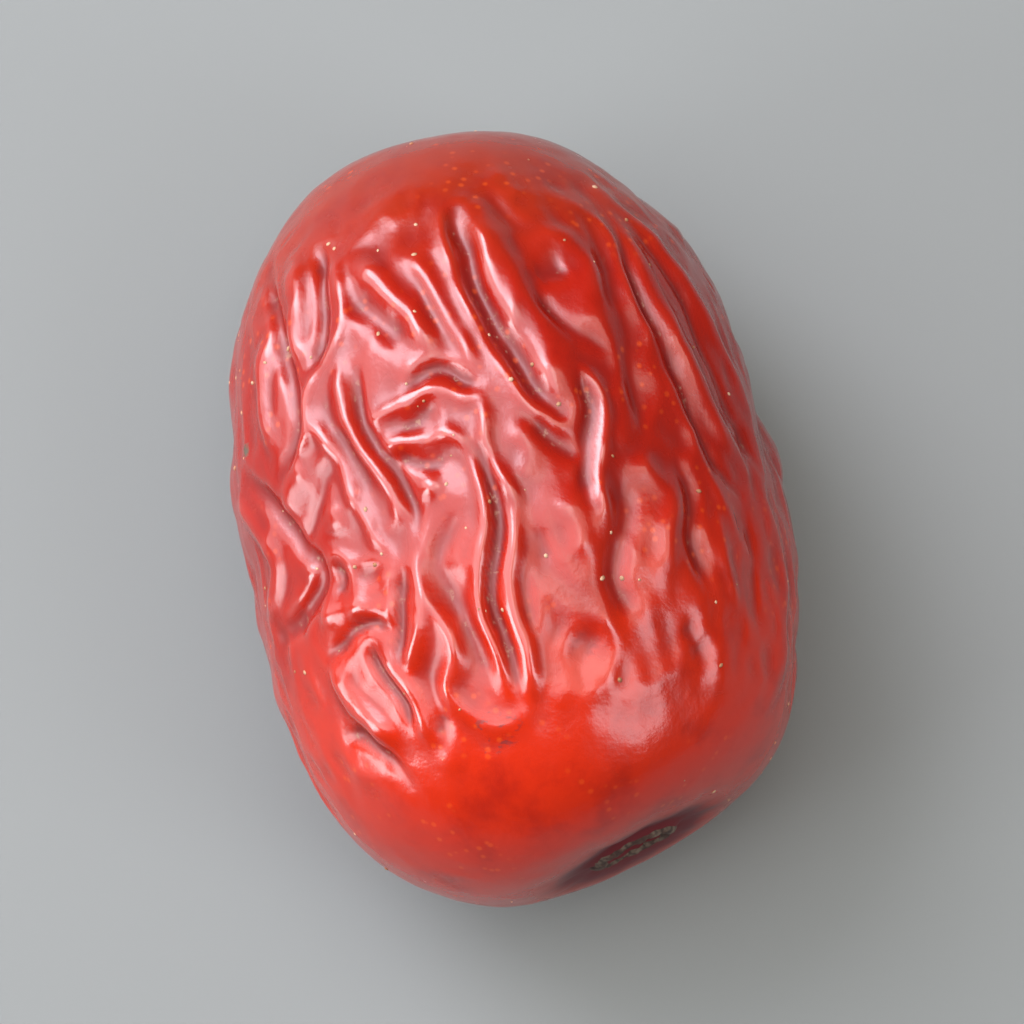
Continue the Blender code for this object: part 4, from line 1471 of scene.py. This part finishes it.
@dataclass
class Studio:
    """The floor, the lights and the camera."""

    target: Vector = field(default_factory=lambda: Vector((0.0, 0.0, 0.0135)))
    elevation: float = math.radians(80)
    roll: float = math.radians(-13)
    distance: float = 0.5
    view_height: float = 0.0555
    floor_size: float = 1.6

    def build(self) -> None:
        """Sets everything up."""
        self.add_floor()
        self.add_lights()
        self.add_camera()
        self.set_colours()

    def add_floor(self) -> None:
        """A plain pale floor."""
        mesh = bmesh.new()
        bmesh.ops.create_grid(mesh, x_segments=1, y_segments=1, size=self.floor_size / 2)
        floor = add_piece("floor", mesh, FloorFinish().make())

    def add_light(self, box: SoftBox) -> None:
        """A soft box that faces the fruit.

        Args:
            box: its place, size and light.
        """
        data = bpy.data.lights.new(box.name, "AREA")
        data.shape = "RECTANGLE"
        data.size, data.size_y = box.width, box.length
        data.energy = box.glow * math.pi * box.width * box.length
        data.color = box.colour
        light = bpy.data.objects.new(box.name, data)
        light.location = self.target + box.distance * box.towards
        light.rotation_mode = "QUATERNION"
        light.rotation_quaternion = box.towards.to_track_quat("Z", "Y")
        bpy.context.scene.collection.objects.link(light)

    def add_lights(self) -> None:
        """A big cool window on the left with a brighter middle, a dim warm panel, and a faint warm sky."""
        self.add_light(SoftBox("window", -29.0, 24.0, 0.50, 0.58, 1.15, 3.1, (0.93, 0.96, 1.0)))
        self.add_light(SoftBox("window_core", -30.0, 40.0, 0.48, 0.22, 0.42, 7.5, (0.92, 0.88, 1.0)))
        self.add_light(SoftBox("low_window", -66.0, -22.0, 0.52, 0.18, 0.34, 9.0, (0.92, 0.96, 1.0)))
        self.add_light(SoftBox("panel", 24.0, 0.0, 0.90, 0.50, 0.70, 2.0, (1.0, 0.86, 0.74)))
        self.add_light(SoftBox("door", 41.0, -34.0, 0.60, 0.19, 0.40, 5.0, (0.94, 0.95, 1.0)))
        world = bpy.data.worlds.new("soft_sky")
        world.use_nodes = True
        sky = world.node_tree.nodes["Background"]
        sky.inputs["Color"].default_value = (1.0, 0.84, 0.66, 1.0)
        sky.inputs["Strength"].default_value = 0.2
        bpy.context.scene.world = world

    def add_camera(self) -> None:
        """The camera above the fruit, a little towards its stem end, with the fruit turned in the frame."""
        data = bpy.data.cameras.new("camera")
        data.sensor_width = 36.0
        data.lens = data.sensor_width * self.distance / self.view_height
        back = Vector((math.cos(self.elevation), 0.0, math.sin(self.elevation)))
        camera = bpy.data.objects.new("camera", data)
        camera.location = self.target + back * self.distance
        camera.rotation_mode = "QUATERNION"
        camera.rotation_quaternion = (-back).to_track_quat("-Z", "Y") @ Quaternion((0, 0, 1), self.roll)
        bpy.context.scene.collection.objects.link(camera)
        bpy.context.scene.camera = camera

    def set_colours(self) -> None:
        """Plain colours, with no added contrast."""
        bpy.context.scene.view_settings.view_transform = "Standard"


def main() -> None:
    """Builds the fruit and the studio."""
    logging.basicConfig(level=logging.INFO)
    body = PlumpBody()
    stem_end = StemEnd()
    style_end = StyleEnd()
    cork = CorkFinish()
    skin = Skin(body, stem_end, style_end, SkinFinish())
    for maker in (skin, ScarRing(skin, cork), StyleTip(skin, cork), Dust(skin, DustFinish())):
        piece = maker.build()
        log.info("%s: %d faces", piece.name, len(piece.data.polygons))
    Studio().build()


if __name__ == "__main__":
    main()
